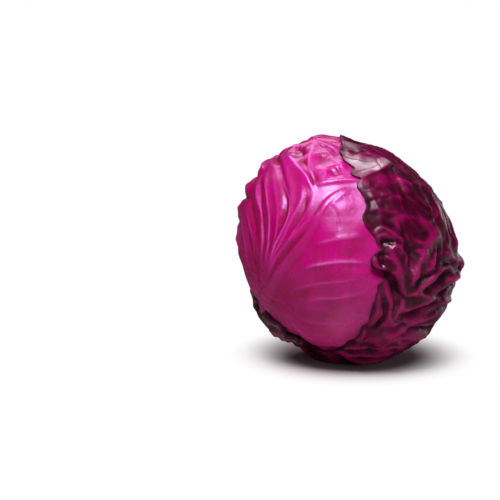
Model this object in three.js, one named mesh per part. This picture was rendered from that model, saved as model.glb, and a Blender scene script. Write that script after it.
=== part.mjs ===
// A head of red cabbage lying on its side, as picked, with the cut stalk pointing down to the left.
// Units are millimetres, +Z is up, and the front is towards -Y.
// The origin is the middle of the small flat spot that the head rests on.
//
// The head is built from the outside in. skinRadius gives the head's outer surface in any direction
// from its centre. Each leaf is drawn flat, as an outline around its own middle, and is wrapped over
// the head. Where a leaf lies under others, its surface goes down by one pitch for each of them.
import * as THREE from "three";

// ---- Driving dimensions ----
const HEAD_RADIUS = 76;
const CENTRE_HEIGHT = 78.5;
const CENTRE_FORWARD = 0.7; // from the middle of the flat spot, towards the front
const CENTRE_RIGHT = -2.4;
const LEAF_THICKNESS = 1;
const LEAF_PITCH = 2.4;
const STUMP_THICKNESS = 2.2;
const STUMP_PITCH = 3.4;
const INNER_THICKNESS = 3.2;
const INNER_PITCH = 5.05;
const STALK_RADIUS = 14;
const STALK_LENGTH = 50;
const STALK_RECESS = 2; // how far the cut end lies inside the head's surface
const HEART_CLEARANCE = 1.2;
const CORE_CLEARANCE = 1.3; // degrees between the stalk's cone and everything around it
const TURN_BETWEEN_LEAVES = 137.5; // degrees round the stalk from each leaf to the next one in

// ---- Directions ----
const radians = THREE.MathUtils.degToRad;
const degrees = THREE.MathUtils.radToDeg;
const STALK = new THREE.Vector3(-1, 0, -1).normalize(); // from the centre to the cut stalk
const FRONT = new THREE.Vector3(0, -1, 0);
const UNDERSIDE = new THREE.Vector3(1, 0, -1).normalize();

// The direction that is so many degrees from the stalk, and so many degrees round it from the front.
function headDirection(fromStalk, around) {
  const side = FRONT.clone()
    .multiplyScalar(Math.cos(radians(around)))
    .addScaledVector(UNDERSIDE, Math.sin(radians(around)));
  return STALK.clone()
    .multiplyScalar(Math.cos(radians(fromStalk)))
    .addScaledVector(side, Math.sin(radians(fromStalk)));
}

// The direction at a compass angle from the front, turning to the right, and a height angle.
function compassDirection(azimuth, elevation) {
  const level = Math.cos(radians(elevation));
  return new THREE.Vector3(
    Math.sin(radians(azimuth)) * level,
    -Math.cos(radians(azimuth)) * level,
    Math.sin(radians(elevation)),
  );
}

const smoothstep = THREE.MathUtils.smoothstep;

// ---- The head's outer surface ----
// Swellings and hollows that make the ball uneven: where, how high in mm, and how wide in degrees.
const LUMPS = [
  { azimuth: -80, elevation: 38, height: 8, spread: 34 }, // the shoulder over the stalk side
  { azimuth: -118, elevation: 70, height: 4.5, spread: 15 }, // the puckered top
  { azimuth: 90, elevation: 25, height: -6.5, spread: 34 }, // the flatter crown
  { azimuth: 80, elevation: 66, height: -7, spread: 24 },
  { azimuth: 60, elevation: -60, height: 3.7, spread: 36 }, // the heavy lower side
  { azimuth: 75, elevation: -28, height: -2, spread: 12 },
  { azimuth: -90, elevation: -45, height: 5, spread: 22 }, // the trimmed base around the stalk
  { azimuth: -90, elevation: -20, height: -6, spread: 10 },
  { azimuth: -62, elevation: -63, height: -5, spread: 12 },
  { azimuth: -110, elevation: -80, height: 7, spread: 18 }, // the side it lay on in the field
].map((lump) => ({ ...lump, at: compassDirection(lump.azimuth, lump.elevation) }));

function skinRadius(direction) {
  let radius = HEAD_RADIUS;
  for (const lump of LUMPS) {
    const away = degrees(direction.angleTo(lump.at)) / lump.spread;
    radius += lump.height * Math.exp(-away * away);
  }
  return radius;
}

// How far it is from the centre down to the floor, which presses the flat spot into the head.
function floorRadius(direction) {
  return direction.z < 0 ? CENTRE_HEIGHT / -direction.z : Infinity;
}

// ---- Leaves ----
// Each outline is the leaf's reach in degrees from its middle, at angles counted from its tip
// towards its left side, which is the front side on the outer leaf. 180 is the end at the stalk.
const OUTER_OUTLINE = [
  [0, 101], [28, 99], [50, 94], [72, 89], [90, 85], [112, 89], [134, 95], [152, 108], [166, 119],
  [180, 117], [194, 119], [208, 108], [226, 94], [250, 88], [270, 86], [300, 90], [330, 97],
];
const FRONT_OUTLINE = [
  [0, 84], [30, 88], [60, 88], [90, 86], [122, 83], [150, 84], [168, 86], [180, 82],
  [192, 86], [210, 84], [238, 80], [270, 76], [300, 76], [330, 80],
];
const WIDE_OUTLINE = [
  [0, 86], [45, 88], [90, 84], [122, 82], [153, 86], [168, 90], [180, 86.5], [192, 90],
  [207, 86], [238, 82], [270, 84], [315, 88],
];
const STUMP_OUTLINE = [
  [0, 9], [40, 11.5], [75, 18], [104, 21.5], [120, 20], [145, 11.5], [180, 9], [215, 11.5],
  [240, 20], [256, 21.5], [285, 18], [320, 11.5],
];

// middle is how far the leaf's middle is from the stalk, in degrees.
const THIN = { thickness: LEAF_THICKNESS, pitch: LEAF_PITCH, margin: 8, slope: 20 };
const STUMP = {
  ...THIN,
  outline: STUMP_OUTLINE,
  cells: 8,
  colour: 0x5c1f38,
  thickness: STUMP_THICKNESS,
  pitch: STUMP_PITCH,
  margin: 7,
  slope: 18,
};
const WRAPPER = { ...THIN, middle: 100, outline: WIDE_OUTLINE, colour: 0x8f1560 };
const LEAVES = [
  { ...STUMP, name: "leaf_stump_1", middle: 20 },
  { ...STUMP, name: "leaf_stump_2", middle: 20 },
  { ...STUMP, name: "leaf_stump_3", middle: 20 },
  { ...THIN, name: "outer_leaf", middle: 130, outline: OUTER_OUTLINE, cells: 26, colour: 0x5e0f36 },
  { ...THIN, name: "front_leaf", middle: 95, outline: FRONT_OUTLINE, cells: 22, colour: 0xa81072 },
  { ...WRAPPER, name: "rear_leaf", cells: 18 },
  { ...WRAPPER, name: "under_leaf", cells: 16 },
  { ...WRAPPER, name: "shoulder_leaf", cells: 18 },
];

// Under these the head is packed tight, with thick, crumpled leaves that fill the space.
const INNER_LEAVES = 5;
for (let i = 1; i <= INNER_LEAVES; i += 1) {
  LEAVES.push({
    name: `inner_leaf_${i}`,
    middle: 100,
    outline: WIDE_OUTLINE,
    cells: 12,
    colour: 0xb04a86,
    thickness: INNER_THICKNESS,
    pitch: INNER_PITCH,
    margin: 12,
    slope: 34,
  });
}

const STUMPS = LEAVES.filter((leaf) => leaf.name.startsWith("leaf_stump")).length;

// The leaves are in order from the outermost in, and turn by the same angle from one to the next.
const OUTER_LEAF_AROUND = 100;
const OUTER_LEAF_PLACE = LEAVES.findIndex((leaf) => leaf.name === "outer_leaf");
LEAVES.forEach((leaf, place) => {
  const around = OUTER_LEAF_AROUND - (place - OUTER_LEAF_PLACE) * TURN_BETWEEN_LEAVES;
  leaf.centre = headDirection(leaf.middle, around);
  leaf.tipward = headDirection(leaf.middle + 90, around);
  leaf.leftward = new THREE.Vector3().crossVectors(leaf.centre, leaf.tipward);
});

// The outline's reach at an angle, on a smooth closed curve through the given points.
function reachAt(outline, angle) {
  const turned = ((angle % 360) + 360) % 360;
  const count = outline.length;
  let i = count - 1;
  while (outline[i][0] > turned) i -= 1;
  const point = (k) => {
    const whole = Math.floor(k / count);
    const [at, reach] = outline[k - whole * count];
    return [at + 360 * whole, reach];
  };
  const [before, start, end, after] = [point(i - 1), point(i), point(i + 1), point(i + 2)];
  const slope = (a, b) => (b[1] - a[1]) / (b[0] - a[0]);
  const span = end[0] - start[0];
  const t = (turned - start[0]) / span;
  const startSlope = slope(before, end) * span;
  const endSlope = slope(start, after) * span;
  const t2 = t * t;
  const t3 = t2 * t;
  return (
    (2 * t3 - 3 * t2 + 1) * start[1] +
    (t3 - 2 * t2 + t) * startSlope +
    (3 * t2 - 2 * t3) * end[1] +
    (t3 - t2) * endSlope
  );
}

// The head direction at a distance and an angle on the leaf's flat drawing, both in degrees.
function leafDirection(leaf, distance, angle) {
  const side = leaf.tipward
    .clone()
    .multiplyScalar(Math.cos(radians(angle)))
    .addScaledVector(leaf.leftward, Math.sin(radians(angle)));
  return leaf.centre
    .clone()
    .multiplyScalar(Math.cos(radians(distance)))
    .addScaledVector(side, Math.sin(radians(distance)));
}

// How fully a leaf covers a direction: 1 on the leaf and for margin degrees past its edge, and then
// down to 0 over slope degrees.
function coverOf(leaf, direction) {
  const distance = degrees(direction.angleTo(leaf.centre));
  const angle = degrees(
    Math.atan2(direction.dot(leaf.leftward), direction.dot(leaf.tipward)),
  );
  const past = distance - reachAt(leaf.outline, angle);
  return 1 - smoothstep(past, leaf.margin, leaf.margin + leaf.slope);
}

// The radius of the outer face of the leaf at this place in the order.
function surfaceRadius(place, direction) {
  const depthUnder = (leaves) =>
    leaves.reduce((depth, leaf) => depth + leaf.pitch * coverOf(leaf, direction), 0);
  const stumps = depthUnder(LEAVES.slice(0, Math.min(place, STUMPS)));
  const leaves = depthUnder(LEAVES.slice(STUMPS, place));
  return Math.min(skinRadius(direction) - stumps, floorRadius(direction)) - leaves;
}

// ---- Solids ----
// A solid from its points and the triangles between them.
function solidFrom(points, triangles) {
  const geometry = new THREE.BufferGeometry();
  geometry.setAttribute("position", new THREE.Float32BufferAttribute(points.flat(), 3));
  geometry.setIndex(triangles.flat());
  geometry.computeVertexNormals();
  return geometry;
}

const CENTRE = new THREE.Vector3(CENTRE_RIGHT, -CENTRE_FORWARD, CENTRE_HEIGHT);
const pointAt = (direction, radius) =>
  direction.clone().multiplyScalar(radius).add(CENTRE).toArray();

// A leaf is a square grid drawn out to the leaf's round outline, once for its outer face and once
// for its inner face, with a strip between the two around the edge.
function leafGeometry(leaf, place) {
  const n = leaf.cells;
  const row = n + 1;
  const faces = [[], []];
  for (let i = 0; i <= n; i += 1) {
    for (let j = 0; j <= n; j += 1) {
      const x = (2 * i) / n - 1;
      const y = (2 * j) / n - 1;
      const across = x * Math.sqrt(1 - (y * y) / 2);
      const up = y * Math.sqrt(1 - (x * x) / 2);
      const angle = degrees(Math.atan2(across, up));
      const distance = Math.hypot(across, up) * reachAt(leaf.outline, angle);
      const direction = leafDirection(leaf, distance, angle);
      const radius = surfaceRadius(place, direction);
      faces[0].push(pointAt(direction, radius));
      faces[1].push(pointAt(direction, radius - leaf.thickness));
    }
  }
  const triangles = [];
  const inner = row * row;
  const quad = (a, b, c, d) => triangles.push([a, b, c], [a, c, d]);
  for (let i = 0; i < n; i += 1) {
    for (let j = 0; j < n; j += 1) {
      const corner = i * row + j;
      quad(corner, corner + 1, corner + row + 1, corner + row);
      quad(inner + corner, inner + corner + row, inner + corner + row + 1, inner + corner + 1);
    }
  }
  const edge = [];
  for (let k = 0; k < n; k += 1) edge.push(k);
  for (let k = 0; k < n; k += 1) edge.push(k * row + n);
  for (let k = n; k > 0; k -= 1) edge.push(n * row + k);
  for (let k = n; k > 0; k -= 1) edge.push(k * row);
  edge.forEach((a, k) => {
    const b = edge[(k + 1) % edge.length];
    quad(b, a, inner + a, inner + b);
  });
  return solidFrom(faces.flat(), triangles);
}

// The stalk is a cone that narrows towards the middle of the head, with the cut end outside.
const STALK_END = skinRadius(STALK) - STALK_RECESS;
const STALK_ANGLE = degrees(Math.asin(STALK_RADIUS / STALK_END));
const SOCKET_ANGLE = STALK_ANGLE + CORE_CLEARANCE;
const SOCKET_DEPTH = STALK_END - STALK_LENGTH - 1;

function stalkGeometry() {
  const inside = STALK_END - STALK_LENGTH;
  const narrow = inside * Math.tan(radians(STALK_ANGLE));
  const bevel = 1.5;
  const profile = [
    [0, inside],
    [narrow, inside],
    [STALK_RADIUS, STALK_END - bevel],
    [STALK_RADIUS - bevel, STALK_END],
    [0, STALK_END],
  ].map(([r, h]) => new THREE.Vector2(r, h));
  return new THREE.LatheGeometry(profile, 28);
}

// The heart is the ball of packed leaves that is left, with a socket for the stalk.
function heartGeometry() {
  const rings = 14;
  const spokes = 28;
  const points = [pointAt(STALK, SOCKET_DEPTH)];
  const ring = (fromStalk, radiusOf) => {
    for (let k = 0; k < spokes; k += 1) {
      const direction = headDirection(fromStalk, (360 * k) / spokes);
      points.push(pointAt(direction, radiusOf(direction)));
    }
  };
  const surface = (direction) => surfaceRadius(LEAVES.length, direction) - HEART_CLEARANCE;
  ring(SOCKET_ANGLE, () => SOCKET_DEPTH);
  for (let i = 0; i < rings; i += 1) {
    ring(SOCKET_ANGLE + ((180 - SOCKET_ANGLE) * i) / rings, surface);
  }
  const crown = STALK.clone().negate();
  points.push(pointAt(crown, surface(crown)));
  const triangles = [];
  const last = points.length - 1;
  for (let k = 0; k < spokes; k += 1) {
    const next = (k + 1) % spokes;
    triangles.push([0, 1 + next, 1 + k]);
    for (let i = 0; i < rings; i += 1) {
      const a = 1 + i * spokes;
      triangles.push([a + k, a + spokes + next, a + spokes + k]);
      triangles.push([a + k, a + next, a + spokes + next]);
    }
    const a = 1 + rings * spokes;
    triangles.push([a + k, a + next, last]);
  }
  return solidFrom(points, triangles);
}

// ---- The head ----
const head = new THREE.Group();

function addPiece(name, geometry, colour, roughness) {
  const material = new THREE.MeshStandardMaterial({ color: colour, roughness, metalness: 0 });
  const mesh = new THREE.Mesh(geometry, material);
  mesh.name = name;
  head.add(mesh);
  return mesh;
}

const stalk = addPiece("stalk", stalkGeometry(), 0xd8d6ae, 0.6);
stalk.position.copy(CENTRE);
stalk.quaternion.setFromUnitVectors(new THREE.Vector3(0, 1, 0), STALK);
addPiece("heart", heartGeometry(), 0xb98fb0, 0.5);
LEAVES.forEach((leaf, place) => {
  addPiece(leaf.name, leafGeometry(leaf, place), leaf.colour, 0.4);
});

export default head;
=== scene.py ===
"""A red cabbage lying on its side: tightly wrapped leaves with ribs, pleats and crumples, trimmed leaf bases
and a cut stalk, in soft studio light."""

import math

import bpy
import numpy as np
from bpy.props import FloatProperty, FloatVectorProperty, PointerProperty
from mathutils import Matrix


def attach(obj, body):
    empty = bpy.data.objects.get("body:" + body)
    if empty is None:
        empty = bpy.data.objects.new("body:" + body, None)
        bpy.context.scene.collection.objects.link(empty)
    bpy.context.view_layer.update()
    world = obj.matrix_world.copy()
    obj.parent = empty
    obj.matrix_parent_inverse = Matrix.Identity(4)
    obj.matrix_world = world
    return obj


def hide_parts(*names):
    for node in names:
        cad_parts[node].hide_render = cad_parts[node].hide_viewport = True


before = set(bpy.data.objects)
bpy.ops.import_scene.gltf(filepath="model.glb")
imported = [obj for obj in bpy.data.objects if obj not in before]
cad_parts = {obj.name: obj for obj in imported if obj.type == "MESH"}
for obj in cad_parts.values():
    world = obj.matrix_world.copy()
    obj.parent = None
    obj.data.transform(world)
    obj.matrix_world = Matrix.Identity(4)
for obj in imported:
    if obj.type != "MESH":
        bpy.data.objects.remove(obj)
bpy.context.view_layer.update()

bl_info = {
    "name": "Red cabbage",
    "version": (1, 0, 0),
    "blender": (4, 5, 0),
    "location": "3D View > Sidebar > Cabbage",
    "description": "Dresses a red cabbage with ribbed, pleated and crumpled leaves",
    "category": "Object",
}

# ---------------------------------------------------------------- the head's shape, in mm and degrees
MM = 0.001  # in metres
CENTRE = np.array([-2.4, -0.7, 78.5])
HEAD_RADIUS = 76.0
MM_PER_DEGREE = math.radians(1) * HEAD_RADIUS
LEAF_GAP = 2.4  # from a wrapped leaf's face to the face of the one under it
STUMP_GAP = 3.4  # the same for a trimmed leaf base
STUMP_THICKNESS = 2.6
TURN_BETWEEN_LEAVES = 137.5
STALK_RADIUS = 14.0
STALK_LENGTH = 50.0
STALK_RECESS = 2.0  # how far its cut face lies under the head's skin
STALK_BEVEL = 1.4
STALK_END_RADIUS = 5.0
STALK_SPOKES = 128
VEIN_SPACING = 17.0
PATH_STEP = 0.8  # about, between two points of a line over the ball
PATH_SMOOTHINGS = 24
CREST_ROUND = 0.7
CREASE_WIDTH = 0.8
FLAT_SCALE = 0.01  # from the flat leaf's millimetres to its UV map

# Points along each side of the leaves' square grids.
FRONT_GRID = 281
OUTER_GRID = 297
WRAPPER_GRID = 217
STUMP_GRID = 113

# Swellings and hollows of the head. Each row: compass bearing, elevation, height, spread.
LUMPS = [
    (-80, 38, 8, 34), (-118, 70, 4.5, 15), (90, 25, -6.5, 34), (80, 66, -7, 24), (60, -60, 3.7, 36),
    (75, -28, -2, 12), (-90, -45, 5, 22), (-90, -20, -6, 10), (-62, -63, -5, 12), (-110, -80, 7, 18),
]

# Leaf margins: angle from the tip towards the leaf's left side, reach from the leaf's middle.
OUTER_OUTLINE = [
    (0, 101.5), (6, 102.2), (12, 104), (19, 104.2), (24, 103), (28, 99.7), (30, 99.4), (33, 101),
    (35, 98.5), (36.3, 95.8), (38, 97.4), (40, 98.7), (44, 97.2), (48, 95), (53, 94.6), (57, 96.2),
    (60, 95.8), (64, 94), (67, 91.4), (71, 88.5), (73, 86.4), (75.5, 89), (78, 91), (82, 90.7), (84, 88.4),
    (86, 83.2), (88, 83), (91, 86.1), (95, 86.8), (102, 88.2), (108, 89), (112, 88.5), (117, 90.8),
    (124, 92), (131, 96.6), (139, 99), (152, 108), (166, 119), (180, 117), (194, 119), (208, 108),
    (226, 94), (250, 88), (270, 86), (300, 90), (330, 97),
]
FRONT_OUTLINE = [
    (0, 84), (30, 88), (60, 88), (90, 86), (122, 83), (150, 84), (168, 86), (180, 82), (192, 86), (210, 84),
    (238, 80), (270, 76), (300, 76), (330, 80),
]
WIDE_OUTLINE = [
    (0, 86), (45, 88), (90, 84), (122, 82), (153, 86), (168, 90), (180, 86.5), (192, 90), (207, 86),
    (238, 82), (270, 84), (315, 88),
]
STUMP_OUTLINE = [
    (0, 3.5), (40, 5), (75, 8), (104, 14), (120, 15), (145, 10.5), (180, 9), (215, 10.5), (240, 15),
    (256, 14), (285, 8), (320, 5),
]

# Folds of the front leaf. Each row: height, width on the left of the line, width on its right, power of the
# falloff (1 a taut crest, 2 a round one), points of the line as bearing and elevation. A height of two
# numbers is the one on the left and the one on the right.
FRONT_FOLDS = [
    # grooves and strands along the midrib
    (-0.9, 2, 1.2, 2, [(-58, -20), (-50, -12), (-45, -5), (-39, 2), (-34, 9), (-29, 14), (-24, 20),
        (-20, 25), (-16, 31)]),
    (-0.8, 1.4, 2.8, 2, [(-48, -17), (-42, -8), (-37, -1), (-32, 6), (-28, 12), (-24, 18), (-20, 24)]),
    (0.5, 1, 1.4, 1, [(-52, -11), (-47, -4), (-43, 2), (-38, 9), (-33, 15), (-28, 21), (-22, 25),
        (-17, 31)]),
    (-0.3, 0.9, 0.9, 2, [(-54, -20), (-46, -11), (-40, -3), (-35, 4), (-30, 11)]),
    (0.5, 1.2, 2.4, 1, [(-26, 17), (-21, 24), (-15, 32), (-9, 37.5), (-2, 42)]),
    # taut folds that fan out on the left of the midrib, with a hollow beside each
    (1.5, 1.3, 4.2, 1, [(-51, -9), (-47, -3), (-45, 3), (-43, 9), (-41, 13), (-38, 21), (-38, 27),
        (-40, 31), (-44, 35), (-49, 39), (-54, 44), (-61, 48)]),
    (-1.9, 1.8, 2.4, 2, [(-66, 48), (-57, 45), (-51, 41), (-46, 37), (-43, 33), (-41, 28), (-41, 21),
        (-43, 14)]),
    (0.8, 1.2, 2.4, 1, [(-48, -4), (-43, 5), (-39, 12), (-37, 18), (-34, 27), (-33, 33), (-35, 38),
        (-38, 44)]),
    (-0.8, 2, 2, 2, [(-34, 14), (-31, 22), (-30, 29), (-31, 35)]),
    (0.6, 1.2, 2, 1, [(-38, 8), (-33, 17), (-29, 25), (-27, 32), (-27, 37)]),
    (1.4, 1.4, 3.2, 1, [(-52, -8), (-50, -1), (-48, 7), (-48, 14), (-50, 22), (-53, 27), (-59, 34),
        (-66, 38), (-72, 42)]),
    (-1.5, 2, 1.6, 2, [(-50, 6), (-52, 13), (-55, 19), (-59, 27), (-65, 34), (-71, 38)]),
    (0.6, 1.2, 2, 1, [(-50, -6), (-46, 3), (-44, 10), (-44, 18), (-46, 26), (-51, 33), (-58, 39),
        (-65, 43)]),
    (1.3, 1.6, 2.6, 1, [(-54, -6), (-53, 1), (-52, 8), (-54, 15), (-58, 24), (-64, 29), (-72, 35),
        (-78, 38)]),
    (-1.3, 2, 2, 2, [(-57, 4), (-58, 12), (-63, 20), (-70, 27), (-76, 31)]),
    (1, 1.4, 2.2, 1, [(-59, -6), (-60, 4), (-63, 13), (-68, 20), (-74, 25)]),
    (-1.2, 2.6, 2.4, 2, [(-66, 14), (-62, 6), (-60, -2), (-60, -10), (-62, -17)]),
    (0.9, 1.6, 2.4, 1, [(-66, -12), (-67, -2), (-69, 8), (-74, 16), (-80, 20)]),
    # the tongue between the folds and the hollows round its top
    (2.3, 1.4, 6, 1, [(-72, 55), (-65, 54), (-56, 52.5), (-48, 50), (-40, 47), (-34, 44.5), (-30, 41),
        (-26.5, 36.5)]),
    (-1.5, 3.2, 1.8, 2, [(-50, 53.5), (-42, 51), (-35, 47.6), (-30, 44), (-25.6, 39)]),
    (-2.6, 3.6, 3.6, 2, [(-76, 60), (-66, 60), (-58, 58.6), (-50, 56.5)]),
    (1.2, 1.8, 1.8, 1, [(-86, 62), (-78, 60.4), (-70, 58), (-62, 55.6)]),
    (1.7, 2.4, 4.2, 1, [(-68, 69), (-58, 66.6), (-52, 64), (-45, 59), (-40, 53), (-36, 48), (-31, 44)]),
    (1.6, 2.4, 3.6, 1, [(-82, 67), (-70, 69.4), (-61, 70), (-48, 71), (-31, 69), (-18, 66)]),
    (-1.5, 2, 1.3, 2, [(-54, 67.6), (-45, 69.4), (-37, 68.4), (-25, 65), (-16, 62)]),
    (-0.9, 3.6, 3.6, 2, [(-37, 62), (-30, 58), (-26, 54)]),
    (0.8, 1.6, 2.4, 1, [(-31, 63), (-24, 60), (-16, 58), (-8, 55)]),
    (-4.4, 9, 9, 2, [(-96, 55), (-106, 60), (-113, 64), (-120, 68)]),
    (-2.6, 4.4, 4.4, 2, [(-96, 64), (-108, 67), (-117, 68), (-128, 69)]),
    (-0.8, 6, 6, 2, [(-120, 76), (-132, 76), (-146, 77)]),
    # ridges and soft dents under the top of the leaf
    (1.5, 4, 1.5, 1, [(-31, 39.6), (-24, 42), (-17, 44), (-8, 46), (0, 46.4), (6, 46)]),
    (0.7, 1, 2.2, 1, [(-32, 51), (-26, 51), (-22, 49), (-23, 46), (-25, 43)]),
    (-0.6, 1, 1, 2, [(-17, 55), (-14, 52), (-11, 48)]),
    (0.7, 2.4, 1.6, 1, [(-16, 58), (-11, 54), (-6, 50), (-2, 48)]),
    (-0.8, 2.6, 2.6, 2, [(-20, 52), (-16, 49), (-14, 46.6)]),
    # the taut right half: a fine crease, the side veins and faint cross lines
    (-0.25, 0.9, 0.9, 2, [(-16, 32), (-13, 29.5), (-11, 26), (-10, 22), (-9, 18)]),
    (0.55, 1.8, 1.3, 1, [(-23, 10), (-19, 12), (-16, 13), (-12, 14), (-5, 15), (0, 16), (5, 16.6)]),
    (1.2, 2, 1.3, 1, [(-28, -2), (-25, 0), (-21, 1), (-16, 2), (-11, 3), (-5, 3.2), (0, 3), (6, 2)]),
    (0.6, 1.6, 1.3, 1, [(-30, -20), (-24, -18), (-18, -16), (-12, -16), (-5, -15), (0, -14), (5, -13)]),
    (0.3, 1.6, 2.6, 2, [(-28, -24), (-21, -23.4), (-14, -25), (-8, -27)]),
    (0.4, 1.6, 1.4, 1, [(-40, -28), (-29, -31), (-20, -32), (-12, -32), (-4, -31), (3, -31)]),
    (-0.3, 1.6, 1.6, 2, [(-3, 12), (-3.6, 2), (-3, -6), (-3, -17), (-3.6, -29)]),
    (0.3, 1.2, 1.2, 2, [(-20, 8), (-19.6, 0), (-20, -8), (-22, -18)]),
    (0.25, 1.2, 1.2, 2, [(-11, 12), (-11, 4), (-11.6, -4), (-12, -14)]),
    (0.25, 1.4, 1.4, 1, [(-42, -16), (-34, -13), (-26, -10), (-16, -8), (-6, -6.6), (4, -6)]),
    # ruffles that cross the left limb
    (-2.4, 2.2, 2.2, 2, [(-112, 54), (-102, 52), (-92, 50.6), (-80, 49.6), (-70, 49), (-62, 47)]),
    (2.2, 2.2, 2.8, 1, [(-114, 46), (-104, 45), (-94, 44), (-84, 43), (-76, 41.6)]),
    (-2.4, 2, 2, 2, [(-110, 39), (-100, 38), (-92, 37.4), (-84, 37), (-76, 36)]),
    (2.2, 2.2, 2.8, 1, [(-110, 33), (-99, 32), (-90, 31.4), (-82, 31.4), (-76, 31)]),
    (-2.4, 2, 2, 2, [(-108, 26), (-97, 25.6), (-88, 26), (-80, 27), (-73, 26)]),
    (1.8, 2.2, 2.6, 1, [(-108, 20), (-97, 20), (-88, 20), (-80, 21)]),
    (-1.6, 2.2, 2.2, 2, [(-106, 13), (-96, 13), (-86, 14), (-78, 12)]),
    (1.4, 2.2, 2.6, 1, [(-104, 5), (-94, 6), (-84, 5), (-76, 0)]),
]

# Tones of the front leaf, in the rows of LUMPS: below zero it is crimson, above zero brighter and violet.
# They are partly the leaf's own uneven colour, partly painted shade in hollows and painted highlight.
FRONT_TONES = [
    (-37, -14, -0.9, 9), (-46, -26, -0.7, 8), (-32, 26, -0.5, 5), (-41, 8, -0.6, 5), (-60, 20, -0.5, 6),
    (-72, 56, -0.6, 6), (-58, 58, -0.9, 5), (-62, -4, -0.8, 8), (-54, -18, -0.6, 7), (-33, 64, -0.4, 5),
    (-26, -12, -0.5, 8), (-12, -6, -0.35, 7), (-10, -22, -0.3, 7), (0, 26, -0.3, 5), (-76, 24, -0.6, 8),
    (-90, 34, -0.8, 16), (-30, -30, -0.3, 7), (-52, 12, -0.8, 20), (-20, -30, -0.6, 16),
    (-6, -14, -0.3, 12), (-24, 4, -0.3, 10), (-14, 3, 0.3, 5), (-5, -14, 0.5, 5), (-5, -31, 0.5, 6),
    (-22, -21, 0.3, 6), (-2, 12, -0.6, 7), (-30, 49, 0.5, 5), (-42, 60, 0.4, 5), (-56, 47, 0.4, 6),
    (-8, 50, 0.4, 6), (-20, 68, 0.4, 5),
]

# The midrib of the front leaf: it is wide and flat at its foot and fades towards the tip.
FRONT_RIB = [
    (-64, -27), (-59, -23), (-52, -17), (-45, -9), (-38, -1), (-33, 5), (-28, 12), (-24, 19), (-21, 26),
    (-18, 32), (-12, 38), (-4, 42), (3, 44),
]

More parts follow.
